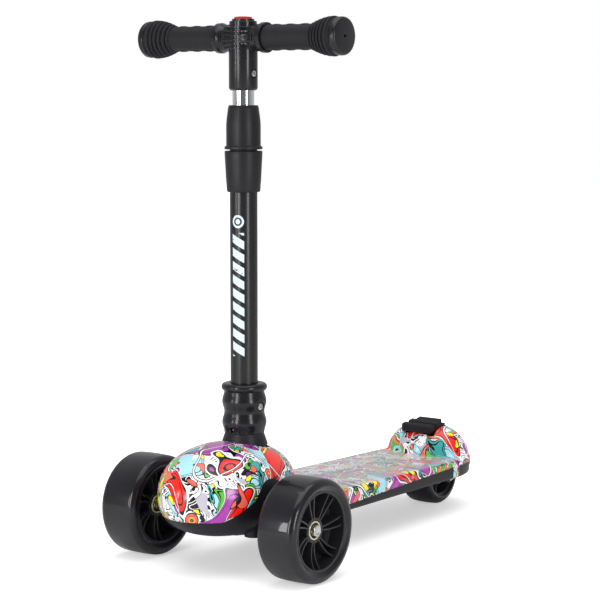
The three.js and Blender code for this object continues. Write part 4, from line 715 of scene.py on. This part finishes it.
def joined(shapes):
    """Puts closed shapes into one mesh without cutting them."""
    whole = bmesh.new()
    for shape in shapes:
        mesh = bpy.data.meshes.new("blank")
        shape.to_mesh(mesh)
        shape.free()
        whole.from_mesh(mesh)
        bpy.data.meshes.remove(mesh)
    return whole


def hub_shape(wheel):
    boss = wheel["boss"]
    half_rim = wheel["rim_width"] / 2 - fit_gap
    half_boss = wheel["boss_width"] / 2
    rim_inner = wheel["rim"] - wheel["wall"]
    seat = bearing_radius + fit_gap
    seat_depth = half_boss - bearing_width - fit_gap
    half = [(9.4, seat_depth), (seat, seat_depth), (seat, half_boss - 0.5), (seat + 0.5, half_boss),
            (boss - 0.8, half_boss), (boss, half_boss - 0.8), (boss + 0.6, half_web + 3),
            (boss + 3, half_web), (rim_inner - 3, half_web), (rim_inner - 0.4, half_web + 3),
            (rim_inner, half_rim - 0.8), (rim_inner + 0.8, half_rim), (wheel["rim"], half_rim)]
    core = turned(both_ends(half), "x", 96)
    # The ribs end on a hollow cone that climbs from the boss to the rim
    dish = [(0, -half_boss), (boss, -half_boss)]
    for step in range(1, 9):
        share = step / 8
        hollow = rib_hollow * math.sin(math.pi * share)
        rise = (half_rim * rib_at_rim - half_boss) * share
        dish.append((boss + (rim_inner + wheel["wall"] / 2 - boss) * share, -(half_boss + rise - hollow)))
    ribs = []
    first = boss - rib_width / 2
    for pair in range(wheel["pairs"]):
        for lean in (-1, 1):
            start = pair / wheel["pairs"] * math.tau + lean * wheel["spread"]
            near_side = []
            far_side = []
            for step in range(9):
                share = step / 8
                radius = first + (rim_inner + wheel["wall"] / 3 - first) * share
                angle = start + wheel["sweep"] * share * share
                half_angle = rib_width / 2 / radius
                for edge, turn in ((near_side, angle + half_angle), (far_side, angle - half_angle)):
                    edge.append((radius * math.cos(turn), radius * math.sin(turn)))
            ribs.append(side_prism(near_side + far_side[::-1], -half_rim, half_rim))
    ribs = combined("INTERSECT", joined(ribs), turned(both_ends(dish), "x", 48))
    return joined([core, softened(ribs, 0.35, 2, 50)])


def on_side(shape, side):
    """The same shape, or its mirror image if it goes on the other side of the scooter."""
    if side < 0:
        bmesh.ops.scale(shape, verts=shape.verts, vec=(-1, 1, 1))
        bmesh.ops.reverse_faces(shape, faces=shape.faces)
    return shape


def bearing_shapes(side):
    """The steel rings, and the black seal between them, of a bearing that faces outwards."""
    half = bearing_width / 2
    outer_ring = [(8.8, -half), (bearing_radius, -half), (bearing_radius, half - 0.4),
                  (bearing_radius - 0.4, half), (9.1, half), (8.8, half - 0.4)]
    inner_ring = [(4.3, -half), (6.5, -half), (6.5, half - 0.4), (6.2, half - 0.1), (4.6, half - 0.1),
                  (4.3, half - 0.4)]
    seal = [(6.6, -half + 0.4), (8.7, -half + 0.4), (8.7, half - 0.7), (8.2, half - 0.5), (7.1, half - 0.5),
            (6.6, half - 0.8)]
    rings = joined([turned(outer_ring, "x", 64), turned(inner_ring, "x", 48)])
    return on_side(rings, side), on_side(turned(seal, "x", 48), side)


def dress_wheel(body, wheel, x, y, z):
    tyre = moved(tyre_shape(wheel), x, y, z)
    hub = moved(hub_shape(wheel), x, y, z)
    placed(body + "_cast_tyre", tyre, smoke_tyre, body, "cast_tyre", body + "_tyre")
    placed(body + "_ribbed_hub", hub, hub_black, body, "hub_plastic", body + "_hub")
    offset = wheel["boss_width"] / 2 - bearing_width / 2
    for letter, side in (("a", 1), ("b", -1)):
        rings, seal = bearing_shapes(side)
        at_x = x + side * offset
        placed(body + "_bearing_rings_" + letter, moved(rings, at_x, y, z), yellow_zinc, body, "yellow_zinc",
               body + "_bearing_" + letter)
        placed(body + "_bearing_seal_" + letter, moved(seal, at_x, y, z), seal_black, body, "inner_plastic")


dress_wheel("left_wheel", front_wheel, wheel_x, front_axle_y, front_axle_z)
dress_wheel("right_wheel", front_wheel, -wheel_x, front_axle_y, front_axle_z)
dress_wheel("rear_wheel", rear_wheel, 0, rear_axle_y, rear_axle_z)
bolt_radius = 4
bolt_flats = 13
bolt_head = 3.4
front_shank_from = 53.6
rear_shank_beyond = 7.8


def bolt_shape(shank_from, head_from):
    """A hexagon bolt along X with a chamfered, slightly dished head."""
    across = bolt_flats / math.sqrt(3)
    top = head_from + bolt_head
    head = turned([(0, head_from), (across, head_from), (across, top), (0, top)], "x", 6)
    trim = turned([(0, head_from - 1), (across + 1, head_from - 1),
                   (across + 0.2, head_from + bolt_head * 0.7), (bolt_flats / 2 - 0.4, top),
                   (bolt_flats / 2 - 2, top), (bolt_flats / 2 - 2.6, top - 0.5), (0, top - 0.5)], "x", 48)
    head = combined("INTERSECT", head, trim)
    return joined([softened(head, 0.15, 1, 25), rod(bolt_radius, shank_from, head_from + 0.5, "x", 32)])


for prefix, side in (("left", 1), ("right", -1)):
    bolt = on_side(bolt_shape(front_shank_from, wheel_x + front_wheel["boss_width"] / 2 + fit_gap), side)
    placed(prefix + "_wheel_bolt", moved(bolt, 0, front_axle_y, front_axle_z), bright_zinc,
           prefix + "_knuckle", "steel", prefix + "_axle_bolt")
    for plated in ("_axle_nut", "_bearing_spacer"):
        refined(prefix + plated, yellow_zinc, prefix + "_knuckle", "yellow_zinc", 0.3)
rear_bolt = bolt_shape(-fork_outer - rear_shank_beyond, fork_outer + fit_gap)
placed("rear_wheel_bolt", moved(rear_bolt, 0, rear_axle_y, rear_axle_z), bright_zinc, "chassis", "steel",
       "rear_axle_bolt")
for plated in ("rear_axle_nut", "rear_bearing_spacer", "rear_sleeve_left", "rear_sleeve_right"):
    refined(plated, yellow_zinc, "chassis", "yellow_zinc", 0.3)

# FOOT BRAKE
# A moulded rubber-faced pedal hinged in the tail. Three ridges give the heel a grip, and a
# curved shoe under the pad rubs on the rear tyre. A pin and a spring hold it up.
matt_rubber = moulded_plastic("matt_rubber", linear(33, 32, 35), 0.6, 0.6, 0.5)
refined("brake_pedal", matt_rubber, "brake_pedal", "rubber_grip", 0.7)
refined("brake_pin", bright_zinc, "chassis", "steel", 0.3)
refined("brake_spring", bright_zinc, "chassis", "steel", 0.3)

# STEERING HEAD AND SOCKET
# The head is a flared skirt over the dome's opening, with the lean pivot inside. The stem
# socket stands on it: a waisted moulding with a rolled lip, flat cheeks and one cross bolt.
head_bottom = 103
wing = dict(half=32, reach=9, top=109)
lever = dict(half=2.6, reach=4.5, bottom=58)
lever_tip_radius = 4
lean_pin_z = 118
lean_pin_hole = 4.3
snap_z = 157.8
snap_hole = 3.1
past_column = 40
head_profile = [
    (0, head_bottom), (19, head_bottom), (19, 138.5), (27.0, 138.5), (27.25, 139.2), (27.1, 140.2),
    (26.0, 143.5), (24.6, 147.6), (23.9, 150.0), (23.4, 150.4), (23.2, 150.9), (23.2, 153.1),
    (15.6, 153.1), (15.6, 176), (0, 176)]
wing_shape = block(-wing["half"], wing["half"], stem_y - wing["reach"], stem_y + wing["reach"], head_bottom,
                   wing["top"])
lever_shape = block(-lever["half"], lever["half"], stem_y - lever["reach"], stem_y + lever["reach"],
                    lever["bottom"], wing["top"])
lever_tip = rod(lever_tip_radius, stem_y - lever["reach"], stem_y + lever["reach"], "y")
head_shape = joined([
    united(on_stem(turned(head_profile, "z", 96)), softened(wing_shape, 0.8)),
    softened(lever_shape, 0.4), moved(lever_tip, 0, 0, lever["bottom"])])
head_shape = cut(
    head_shape, moved(rod(lean_pin_hole, stem_y - past_column, stem_y + past_column, "y"), 0, 0, lean_pin_z),
    moved(rod(snap_hole, stem_y - past_column, stem_y - 3, "y"), 0, 0, snap_z))
placed("steering_head_skirt", head_shape, satin_charcoal, "steering_column", "charcoal_plastic",
       "steering_head")


def coil_spring(name, coil, x, node):
    """A coil of round wire."""
    turn_steps = 20
    wire_steps = 8
    shape = bmesh.new()
    rings = []
    for step in range(coil["turns"] * turn_steps + 1):
        share = step / (coil["turns"] * turn_steps)
        turn = math.tau * step / turn_steps
        height = coil["bottom"] + (coil["top"] - coil["bottom"]) * share
        ring = []
        for point in range(wire_steps):
            round_wire = math.tau * point / wire_steps
            out = coil["radius"] + coil["wire"] * math.cos(round_wire)
            ring.append(shape.verts.new((out * math.cos(turn), out * math.sin(turn),
                                         height + coil["wire"] * math.sin(round_wire))))
        rings.append(ring)
    for ring, following in zip(rings, rings[1:]):
        for point in range(wire_steps):
            beside = (point + 1) % wire_steps
            shape.faces.new((ring[point], ring[beside], following[beside], following[point]))
    shape.faces.new(rings[0])
    shape.faces.new(rings[-1])
    bmesh.ops.recalc_face_normals(shape, faces=shape.faces)
    spring = finished(name, moved(shape, x, stem_y, 0), bright_zinc, 60)
    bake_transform(spring)
    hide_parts(node)


centring_coil = dict(radius=5.2, wire=0.95, bottom=82.4, top=101.6, turns=5)
for prefix, spring_x in (("left", 25), ("right", -25)):
    coil_spring(prefix + "_centring_coil", centring_coil, spring_x,
                prefix + "_centring_spring")

socket_bottom = 153.4
socket_top = 211.5
socket_bore = 16.3
waist_radius = 23.6
waist_wave = 2.4
lip_height = 9.5
lip = dict(radius=23.1, out=3.75, up=4.4)
cheek_half = 24.6
recess_radius = 5.4
recess_floor = 21.6
bolt_z = 185
bolt_hole = 3.3
socket_gloss = moulded_plastic("socket_gloss", linear(30, 29, 33), 0.24, 0.8, 0.08, coat=0.2)
wave_height = socket_top - socket_bottom - lip_height
socket_profile = [(socket_bore, socket_bottom), (23.2, socket_bottom), (waist_radius, socket_bottom + 0.4)]
for step in range(1, 33):
    share = step / 32
    bulge = math.sin(share * math.tau) ** 2
    socket_profile.append((waist_radius + waist_wave * bulge, socket_bottom + wave_height * share))
lip_middle = socket_top - lip_height / 2
for step in range(9):
    angle = math.radians(-70 + step / 8 * 140)
    socket_profile.append((lip["radius"] + lip["out"] * math.cos(angle),
                           lip_middle + lip["up"] * math.sin(angle)))
socket_profile += [(22.4, socket_top), (17.4, socket_top), (socket_bore, socket_top - 1.2)]
socket = on_stem(turned(socket_profile, "z", 96))
for side in (-1, 1):
    cheek = block(*span(side, cheek_half, past_column), stem_y - 30, stem_y + 30, socket_bottom - overrun,
                  socket_top - lip_height)
    recess = rod(recess_radius, *span(side, recess_floor, past_column), "x", 40)
    socket = cut(socket, softened(cheek, 0.6), on_stem(recess, bolt_z))
socket = cut(socket, on_stem(rod(bolt_hole, -past_column, past_column, "x"), bolt_z),
             moved(rod(snap_hole, stem_y - past_column, stem_y, "y"), 0, 0, snap_z))
placed("stem_socket_moulding", socket, socket_gloss, "steering_column", "charcoal_plastic", "stem_socket")


def socket_screw(head_from, head_to, head_radius, key_flats):
    """A domed screw head along X with a hexagon key hole, as an even profile and a cut."""
    dome = turned([(0, head_from), (head_radius, head_from), (head_radius, head_to - 0.9),
                   (head_radius - 0.3, head_to - 0.4), (head_radius - 1.2, head_to), (0, head_to)], "x", 48)
    return cut(dome, rod(key_flats / math.sqrt(3), head_to - 1.6, head_to + 5, "x", 6))


bolt_end = 24.5
bolt_seat = 21.9
screw_head = 4.2
cross_bolt = joined([
    socket_screw(bolt_seat, bolt_end, screw_head, 3.9), rod(3, -22, 22, "x"),
    rod(screw_head, -bolt_end, -bolt_seat, "x")])
placed("socket_cross_bolt", on_stem(cross_bolt, bolt_z), bright_zinc, "steering_column", "steel",
       "socket_bolt")
nub_radius = 2.8
nub_end = 19
nub_profile = [(0, -8), (nub_radius, -8), (nub_radius, -nub_end)]
for step in range(1, 6):
    angle = step / 5 * math.pi / 2
    nub_profile.append((nub_radius * math.cos(angle), -(nub_end + 2.2 * math.sin(angle))))
placed("snap_nub", on_stem(turned(nub_profile, "y", 32), snap_z), bright_zinc, "snap_button", "steel",
       "snap_button")

# COLUMN TUBES AND CLAMP COLLARS
# The outer tube is black-painted steel with a pale transfer up its front. Above it a twist
# collar squeezes a slit collet round the chromed inner tube, which carries the bar.
tube_bottom = 177
tube_top = 476
tube_bore = 14.5
tube_radius = 16
inner_bottom = 192
inner_top = 590
inner_bore = 10.95
inner_radius = 12.45
side_screw_z = 569
side_screw_hole = 2.7
# The transfer, in metres and radians as the shader has them
transfer = dict(turn=0.22, half=0.0075, bottom=0.244, top=0.387, slant=0.55, pitch=0.0155, bar=0.62,
                ring_z=0.4, ring=0.0062, ring_half=0.0012, dot=0.0028)


def painted_tube():
    """Gloss black paint with faint orange peel, and a pale transfer of slanted bars."""
    material, look, place = new_material("painted_tube")
    split = look.add("SeparateXYZ", {"Vector": place})
    # Width round the tube, zero at the middle of the transfer, and height up it
    forward = look.math("MULTIPLY", look.math("ADD", split["Y"], -stem_y / 1000), -1)
    turn = look.math("ARCTAN2", split["X"], forward)
    across = look.math("MULTIPLY", look.math("SUBTRACT", turn, transfer["turn"]), tube_radius / 1000)
    height = split["Z"]
    panel = look.math("MULTIPLY", look.near(across, 0, transfer["half"]),
                      look.math("GREATER_THAN", height, transfer["bottom"]))
    slanted = look.math("ADD", height, look.math("MULTIPLY", across, transfer["slant"]))
    into_bar = look.math("FRACT", look.math("DIVIDE", slanted, transfer["pitch"]))
    bars = look.math("MULTIPLY", look.math("LESS_THAN", height, transfer["top"]),
                     look.math("LESS_THAN", into_bar, transfer["bar"]))
    up = look.math("SUBTRACT", height, transfer["ring_z"])
    squares = look.math("ADD", look.math("POWER", across, 2), look.math("POWER", up, 2))
    from_centre = look.math("SQRT", squares)
    ring = look.near(from_centre, transfer["ring"], transfer["ring_half"])
    dot = look.math("LESS_THAN", from_centre, transfer["dot"])
    shape = look.math("MAXIMUM", look.math("MULTIPLY", panel, bars), look.math("MAXIMUM", ring, dot))
    printed = look.math("MULTIPLY", shape, look.math("GREATER_THAN", look.noise(place, 260, 4), 0.32))
    look.surface({
        "Base Color": look.over(linear(24, 24, 27), linear(205, 222, 236), printed),
        "Normal": look.relief(look.noise(place, 700), 0.12, 0.0001),
        "Roughness": 0.28, "Specular IOR Level": 0.4, "Coat Weight": 0.1, "Coat Roughness": 0.15})
    return material


def open_tube(inner, outer, start, end):
    edge = 0.4
    return on_stem(turned([(inner, start), (outer - edge, start), (outer, start + edge), (outer, end - edge),
                           (outer - edge, end), (inner, end)], "z", 96))


outer_tube = cut(open_tube(tube_bore, tube_radius, tube_bottom, tube_top),
                 on_stem(rod(bolt_hole, -past_column, past_column, "x"), bolt_z))
placed("painted_outer_tube", outer_tube, painted_tube(), "steering_column", "painted_tube", "outer_tube")

lower_collar = turned([
    (16.3, 433.4), (18.0, 433.4), (19.0, 434.0), (19.5, 435.6), (20.6, 455), (21.4, 470), (21.9, 479.6),
    (21.6, 480.4), (21.0, 480.7), (16.3, 480.7)], "z", 96)
placed("fixed_collar", on_stem(lower_collar), satin_charcoal, "steering_column", "charcoal_plastic",
       "lower_collar")
twist_collar = turned([
    (16.3, 482.6), (21.4, 482.6), (21.9, 483.1), (21.9, 485.2), (21.4, 485.8), (20.2, 486.3), (19.9, 487.2),
    (19.9, 509), (19.75, 513), (19.3, 518), (18.5, 524), (17.8, 529), (17.3, 531.6), (16.8, 532.7),
    (16.0, 533), (12.95, 533), (12.95, 527.5), (15.3, 527.5), (15.3, 484.1), (16.3, 484.1)], "z", 96)
placed("twist_collar_moulding", on_stem(twist_collar), satin_charcoal, "twist_collar", "charcoal_plastic",
       "twist_collar")
refined("clamp_collet", inner_nylon, "steering_column", "inner_plastic", 0.2)
refined("guide_bush", inner_nylon, "t_bar", "inner_plastic", 0.2)

chrome = metal("polished_chrome", linear(236, 237, 240), 0.07, (1, 1, 0.05), 0.006)
inner_tube = cut(open_tube(inner_bore, inner_radius, inner_bottom, inner_top),
                 on_stem(rod(side_screw_hole, 0, past_column, "x"), side_screw_z))
placed("chrome_inner_tube", inner_tube, chrome, "t_bar", "chrome_tube", "inner_tube")

# T-JOINT
# A moulded sleeve that joins the column and the crossbar. Six ribs run along the bar and round
# the sleeve. It has a slotted neck on each side, a recessed side screw, and a stepped well on
# top for the height button.
bar_z = 609.5
bar_bore = 10.3
barrel_radius = 15.6
joint_half = 35
sleeve_radius = 16.6
sleeve_top = bar_z + 2.3
top_steps = ((15.8, 628.6), (12.9, 631))
column_bore = 12.75
rod_hole = 3.5
well_radius = 10.7
well_floor = 621.5
screw_room = dict(radius=5, floor=13.4)
button_top = 633.8
slot = dict(half=0.7, apart=1.6, floor=14.6, reach=5)
rib_pitch = 4.6
rib_half = 1.25
rib_height = 1.3
rib_reach = 19
hoop_radius = 17.9
barrel = turned(both_ends([
    (0, -joint_half), (17.0, -joint_half), (17.4, -34.5), (17.4, -29.8), (16.9, -29.2),
    (barrel_radius, -27.2)]), "x", 80)
joint = moved(barrel, 0, 0, bar_z)
for neck_x in (-22.5, 22.5):
    for slot_x in (neck_x - slot["apart"], neck_x + slot["apart"]):
        for side in (-1, 1):
            joint = cut(joint, block(
                slot_x - slot["half"], slot_x + slot["half"], *span(side, slot["floor"], 20),
                bar_z - slot["reach"], bar_z + slot["reach"]))
sleeve_profile = [(0, 549.7), (13.4, 549.7), (15.0, 550.2), (16.0, 551.2), (sleeve_radius, 552.9),
                  (sleeve_radius, sleeve_top), (0, sleeve_top)]
joint = united(joint, turned(sleeve_profile, "z", 80))
for radius, top in top_steps:
    ring = turned([(0, bar_z), (radius, bar_z), (radius, top - 0.5), (radius - 0.5, top), (0, top)], "z", 80)
    joint = united(joint, ring)
for at in range(6):
    up = (at - 2.5) * rib_pitch
    out = math.sqrt(barrel_radius ** 2 - up ** 2) + rib_height
    rib = block(-rib_reach, rib_reach, -out, out, bar_z + up - rib_half, bar_z + up + rib_half)
    hoop = rod(hoop_radius, bar_z + up - rib_half, bar_z + up + rib_half, "z", 96)
    joint = united(joint, united(softened(rib, 0.4, 1), softened(hoop, 0.4, 1)))
joint = cut(
    joint,
    moved(rod(bar_bore, -clear, clear, "x", 64), 0, 0, bar_z),
    rod(column_bore, 540, inner_top + fit_gap, "z", 64),
    rod(rod_hole, inner_top, button_top, "z", 32),
    rod(well_radius, well_floor, 650, "z", 64),
    moved(rod(screw_room["radius"], screw_room["floor"], clear, "x", 48), 0, 0, side_screw_z),
    moved(rod(side_screw_hole, 0, clear, "x", 32), 0, 0, side_screw_z))
placed("t_joint_moulding", on_stem(joint), socket_gloss, "t_bar", "charcoal_plastic", "t_joint")
side_screw = joined([socket_screw(13.7, 16.3, 3.9, 3.4), rod(2.4, 10.7, 14, "x")])
placed("joint_side_screw", on_stem(side_screw, side_screw_z), bright_zinc, "t_bar", "steel", "t_joint_screw")
refined("crossbar_tube", bright_zinc, "t_bar", "steel", 0.2)

# GRIPS AND END CAPS
# Each grip is a soft rubber sleeve with raised oval pads above and below, and a bell of rings
# with grooves between them at its outer end. A glossy cap is plugged into the end of the bar.
grip_start = 35.3
grip_radius = 14.3
bell_start = 101
bell_rise = 8.1
bell_rings = 6
ring_pitch = 31 / bell_rings
groove_depth = 2.1
pad_size = (8.2, 5.6, 2.2)
pad_pitch = 20
pad_height = 12.9
cap_rubber = moulded_plastic("cap_rubber", linear(29, 29, 32), 0.33, 1.0, 0.1, coat=0.25)
grip_profile = [(bar_bore, grip_start), (13.6, grip_start), (grip_radius, 36), (grip_radius, bell_start)]
for ring in range(bell_rings):
    start = bell_start + ring * ring_pitch
    for share, along, sunk in ((0.7, 0.02, 0.5), (0.75, 0.12, 0), (0.85, 0.44, 0), (0.9, 0.56, 0.5),
                               (0.9, 0.66, groove_depth), (0.9, 0.9, groove_depth)):
        reach = math.sin((ring + share) / bell_rings * math.pi / 2)
        grip_profile.append((grip_radius + bell_rise * reach - sunk, start + ring_pitch * along))
grip_profile += [(20.6, 133.6), (20.2, 134), (bar_bore, 134)]
cap_profile = [
    (0, 122.6), (8.2, 122.6), (8.2, 134.6), (20.4, 134.6), (21.2, 135.2), (21.4, 136.2), (21.4, 139.6),
    (21.1, 141), (20.4, 142), (19.3, 142.7), (18, 143), (2.4, 143), (2, 142.6), (2, 140), (0, 140)]
for prefix, side in (("left", 1), ("right", -1)):
    parts = [turned(grip_profile, "x", 96)]
    for pad in range(3):
        for up in (-1, 1):
            oval = bmesh.new()
            bmesh.ops.create_uvsphere(oval, u_segments=32, v_segments=16, radius=1)
            bmesh.ops.scale(oval, verts=oval.verts, vec=pad_size)
            parts.append(moved(oval, grip_start + pad_pitch * (pad + 0.65), 0, up * pad_height))
    grip = on_side(joined(parts), side)
    cap = on_side(turned(cap_profile, "x", 96), side)
    placed(prefix + "_grip_sleeve", on_stem(grip, bar_z), matt_rubber, "t_bar", "rubber_grip",
           prefix + "_grip")
    placed(prefix + "_bar_cap", on_stem(cap, bar_z), cap_rubber, "t_bar", "rubber_grip", prefix + "_end_cap")

# HEIGHT BUTTON
# A crimson push button in the well of the T-joint. Pressing it moves a long rod inside the
# inner tube and frees the height catch; a spring under the button lifts it again.
crimson = moulded_plastic("crimson", linear(190, 28, 48), 0.25, 1.5, 0.05, coat=0.4)
button_profile = [
    (0, 624.6), (3, 624.6), (3, 631), (8.2, 631), (8.2, 625), (10.1, 625), (10.4, 625.3), (10.4, 632.4),
    (10.1, 633.0), (9.2, 633.4), (5.2, button_top), (0, button_top)]
placed("crimson_button", on_stem(turned(button_profile, "z", 72)), crimson, "height_button", "red_plastic",
       "height_button")
refined("release_rod", bright_zinc, "height_button", "steel", 0.2)
button_coil = dict(radius=6, wire=0.6, bottom=622.5, top=630.1, turns=4)
coil_spring("button_coil", button_coil, 0, "button_spring")

# STUDIO
# A pale seamless floor and a white backdrop, seen from the photograph's angle. One large light
# hangs overhead, two tall strips stand in front and at the side, and a small one stands low at
# the front corner. The camera sees the backdrop white; shiny pieces mirror a dimmer room.
full_white = (1, 1, 1, 1)
camera_data = bpy.data.cameras.new("camera")
camera_data.lens = 115.12
camera_data.sensor_width = 36
camera_data.clip_end = 30
camera = bpy.data.objects.new("camera", camera_data)
camera.location = (1.37092, -1.89764, 0.55186)
look_at = Vector((0.00142, -0.05113, 0.29859))
camera.rotation_euler = (look_at - camera.location).to_track_quat("-Z", "Y").to_euler()
bpy.context.scene.collection.objects.link(camera)
bpy.context.scene.camera = camera
bpy.context.scene.view_settings.view_transform = "Standard"


def area_light(name, place, aim, size, watts):
    data = bpy.data.lights.new(name, "AREA")
    data.shape = "RECTANGLE"
    data.size, data.size_y = size
    data.energy = watts
    light = bpy.data.objects.new(name, data)
    light.location = place
    light.rotation_euler = (Vector(aim) - Vector(place)).to_track_quat("-Z", "Y").to_euler()
    bpy.context.scene.collection.objects.link(light)


area_light("overhead", (0.2, -0.3, 2.2), (0, 0, 0.1), (2.2, 2.2), 27)
area_light("front_strip", (-0.1, -2.2, 0.62), (0, -0.1, 0.4), (0.42, 1.1), 16)
area_light("side_strip", (2.1, -0.75, 0.62), (0, -0.1, 0.4), (0.42, 1.1), 15)
area_light("low_corner", (-0.966, -2.05, 0.46), (0, -0.2, 0.1), (0.18, 0.62), 5)

world = bpy.data.worlds.new("studio")
world.use_nodes = True
bpy.context.scene.world = world
world.node_tree.nodes.clear()
room = Nodes(world.node_tree)
seen = room.add("LightPath")
mirrored = room.math("MAXIMUM", seen["Is Glossy Ray"], seen["Is Transmission Ray"])
outwards = room.add("TexCoord")["Generated"]
from_behind = room.vector("DOT_PRODUCT", {0: outwards, 1: (-0.6, 0.8, 0)}, "Value")
mirror_strength = room.ranged(from_behind, 0.16, 0.55, -0.8, 0.6)
lit, mirror_room, backdrop = [room.add("Background", {"Color": full_white, "Strength": strength})[0]
                              for strength in (0.56, mirror_strength, 1)]
unseen = room.add("MixShader", {0: mirrored, 1: lit, 2: mirror_room})[0]
whole_room = room.add("MixShader", {0: seen["Is Camera Ray"], 1: unseen, 2: backdrop})[0]
room.add("OutputWorld", {0: whole_room})

floor_shape = bmesh.new()
bmesh.ops.create_circle(floor_shape, cap_ends=True, segments=96, radius=9000)
pale_floor, floor_look, floor_place = new_material("pale_floor")
from_middle = floor_look.vector("LENGTH", {0: floor_place}, "Value")
whiter = floor_look.ranged(from_middle, 0.42, 0.9, 0.2, 1.1)
to_camera = floor_look.add("LightPath")["Is Camera Ray"]
floor_look.surface({
    "Base Color": (0.86, 0.86, 0.86, 1), "Roughness": 0.9, "Emission Color": full_white,
    "Emission Strength": floor_look.math("MULTIPLY", to_camera, whiter)})
finished("floor", floor_shape, pale_floor)
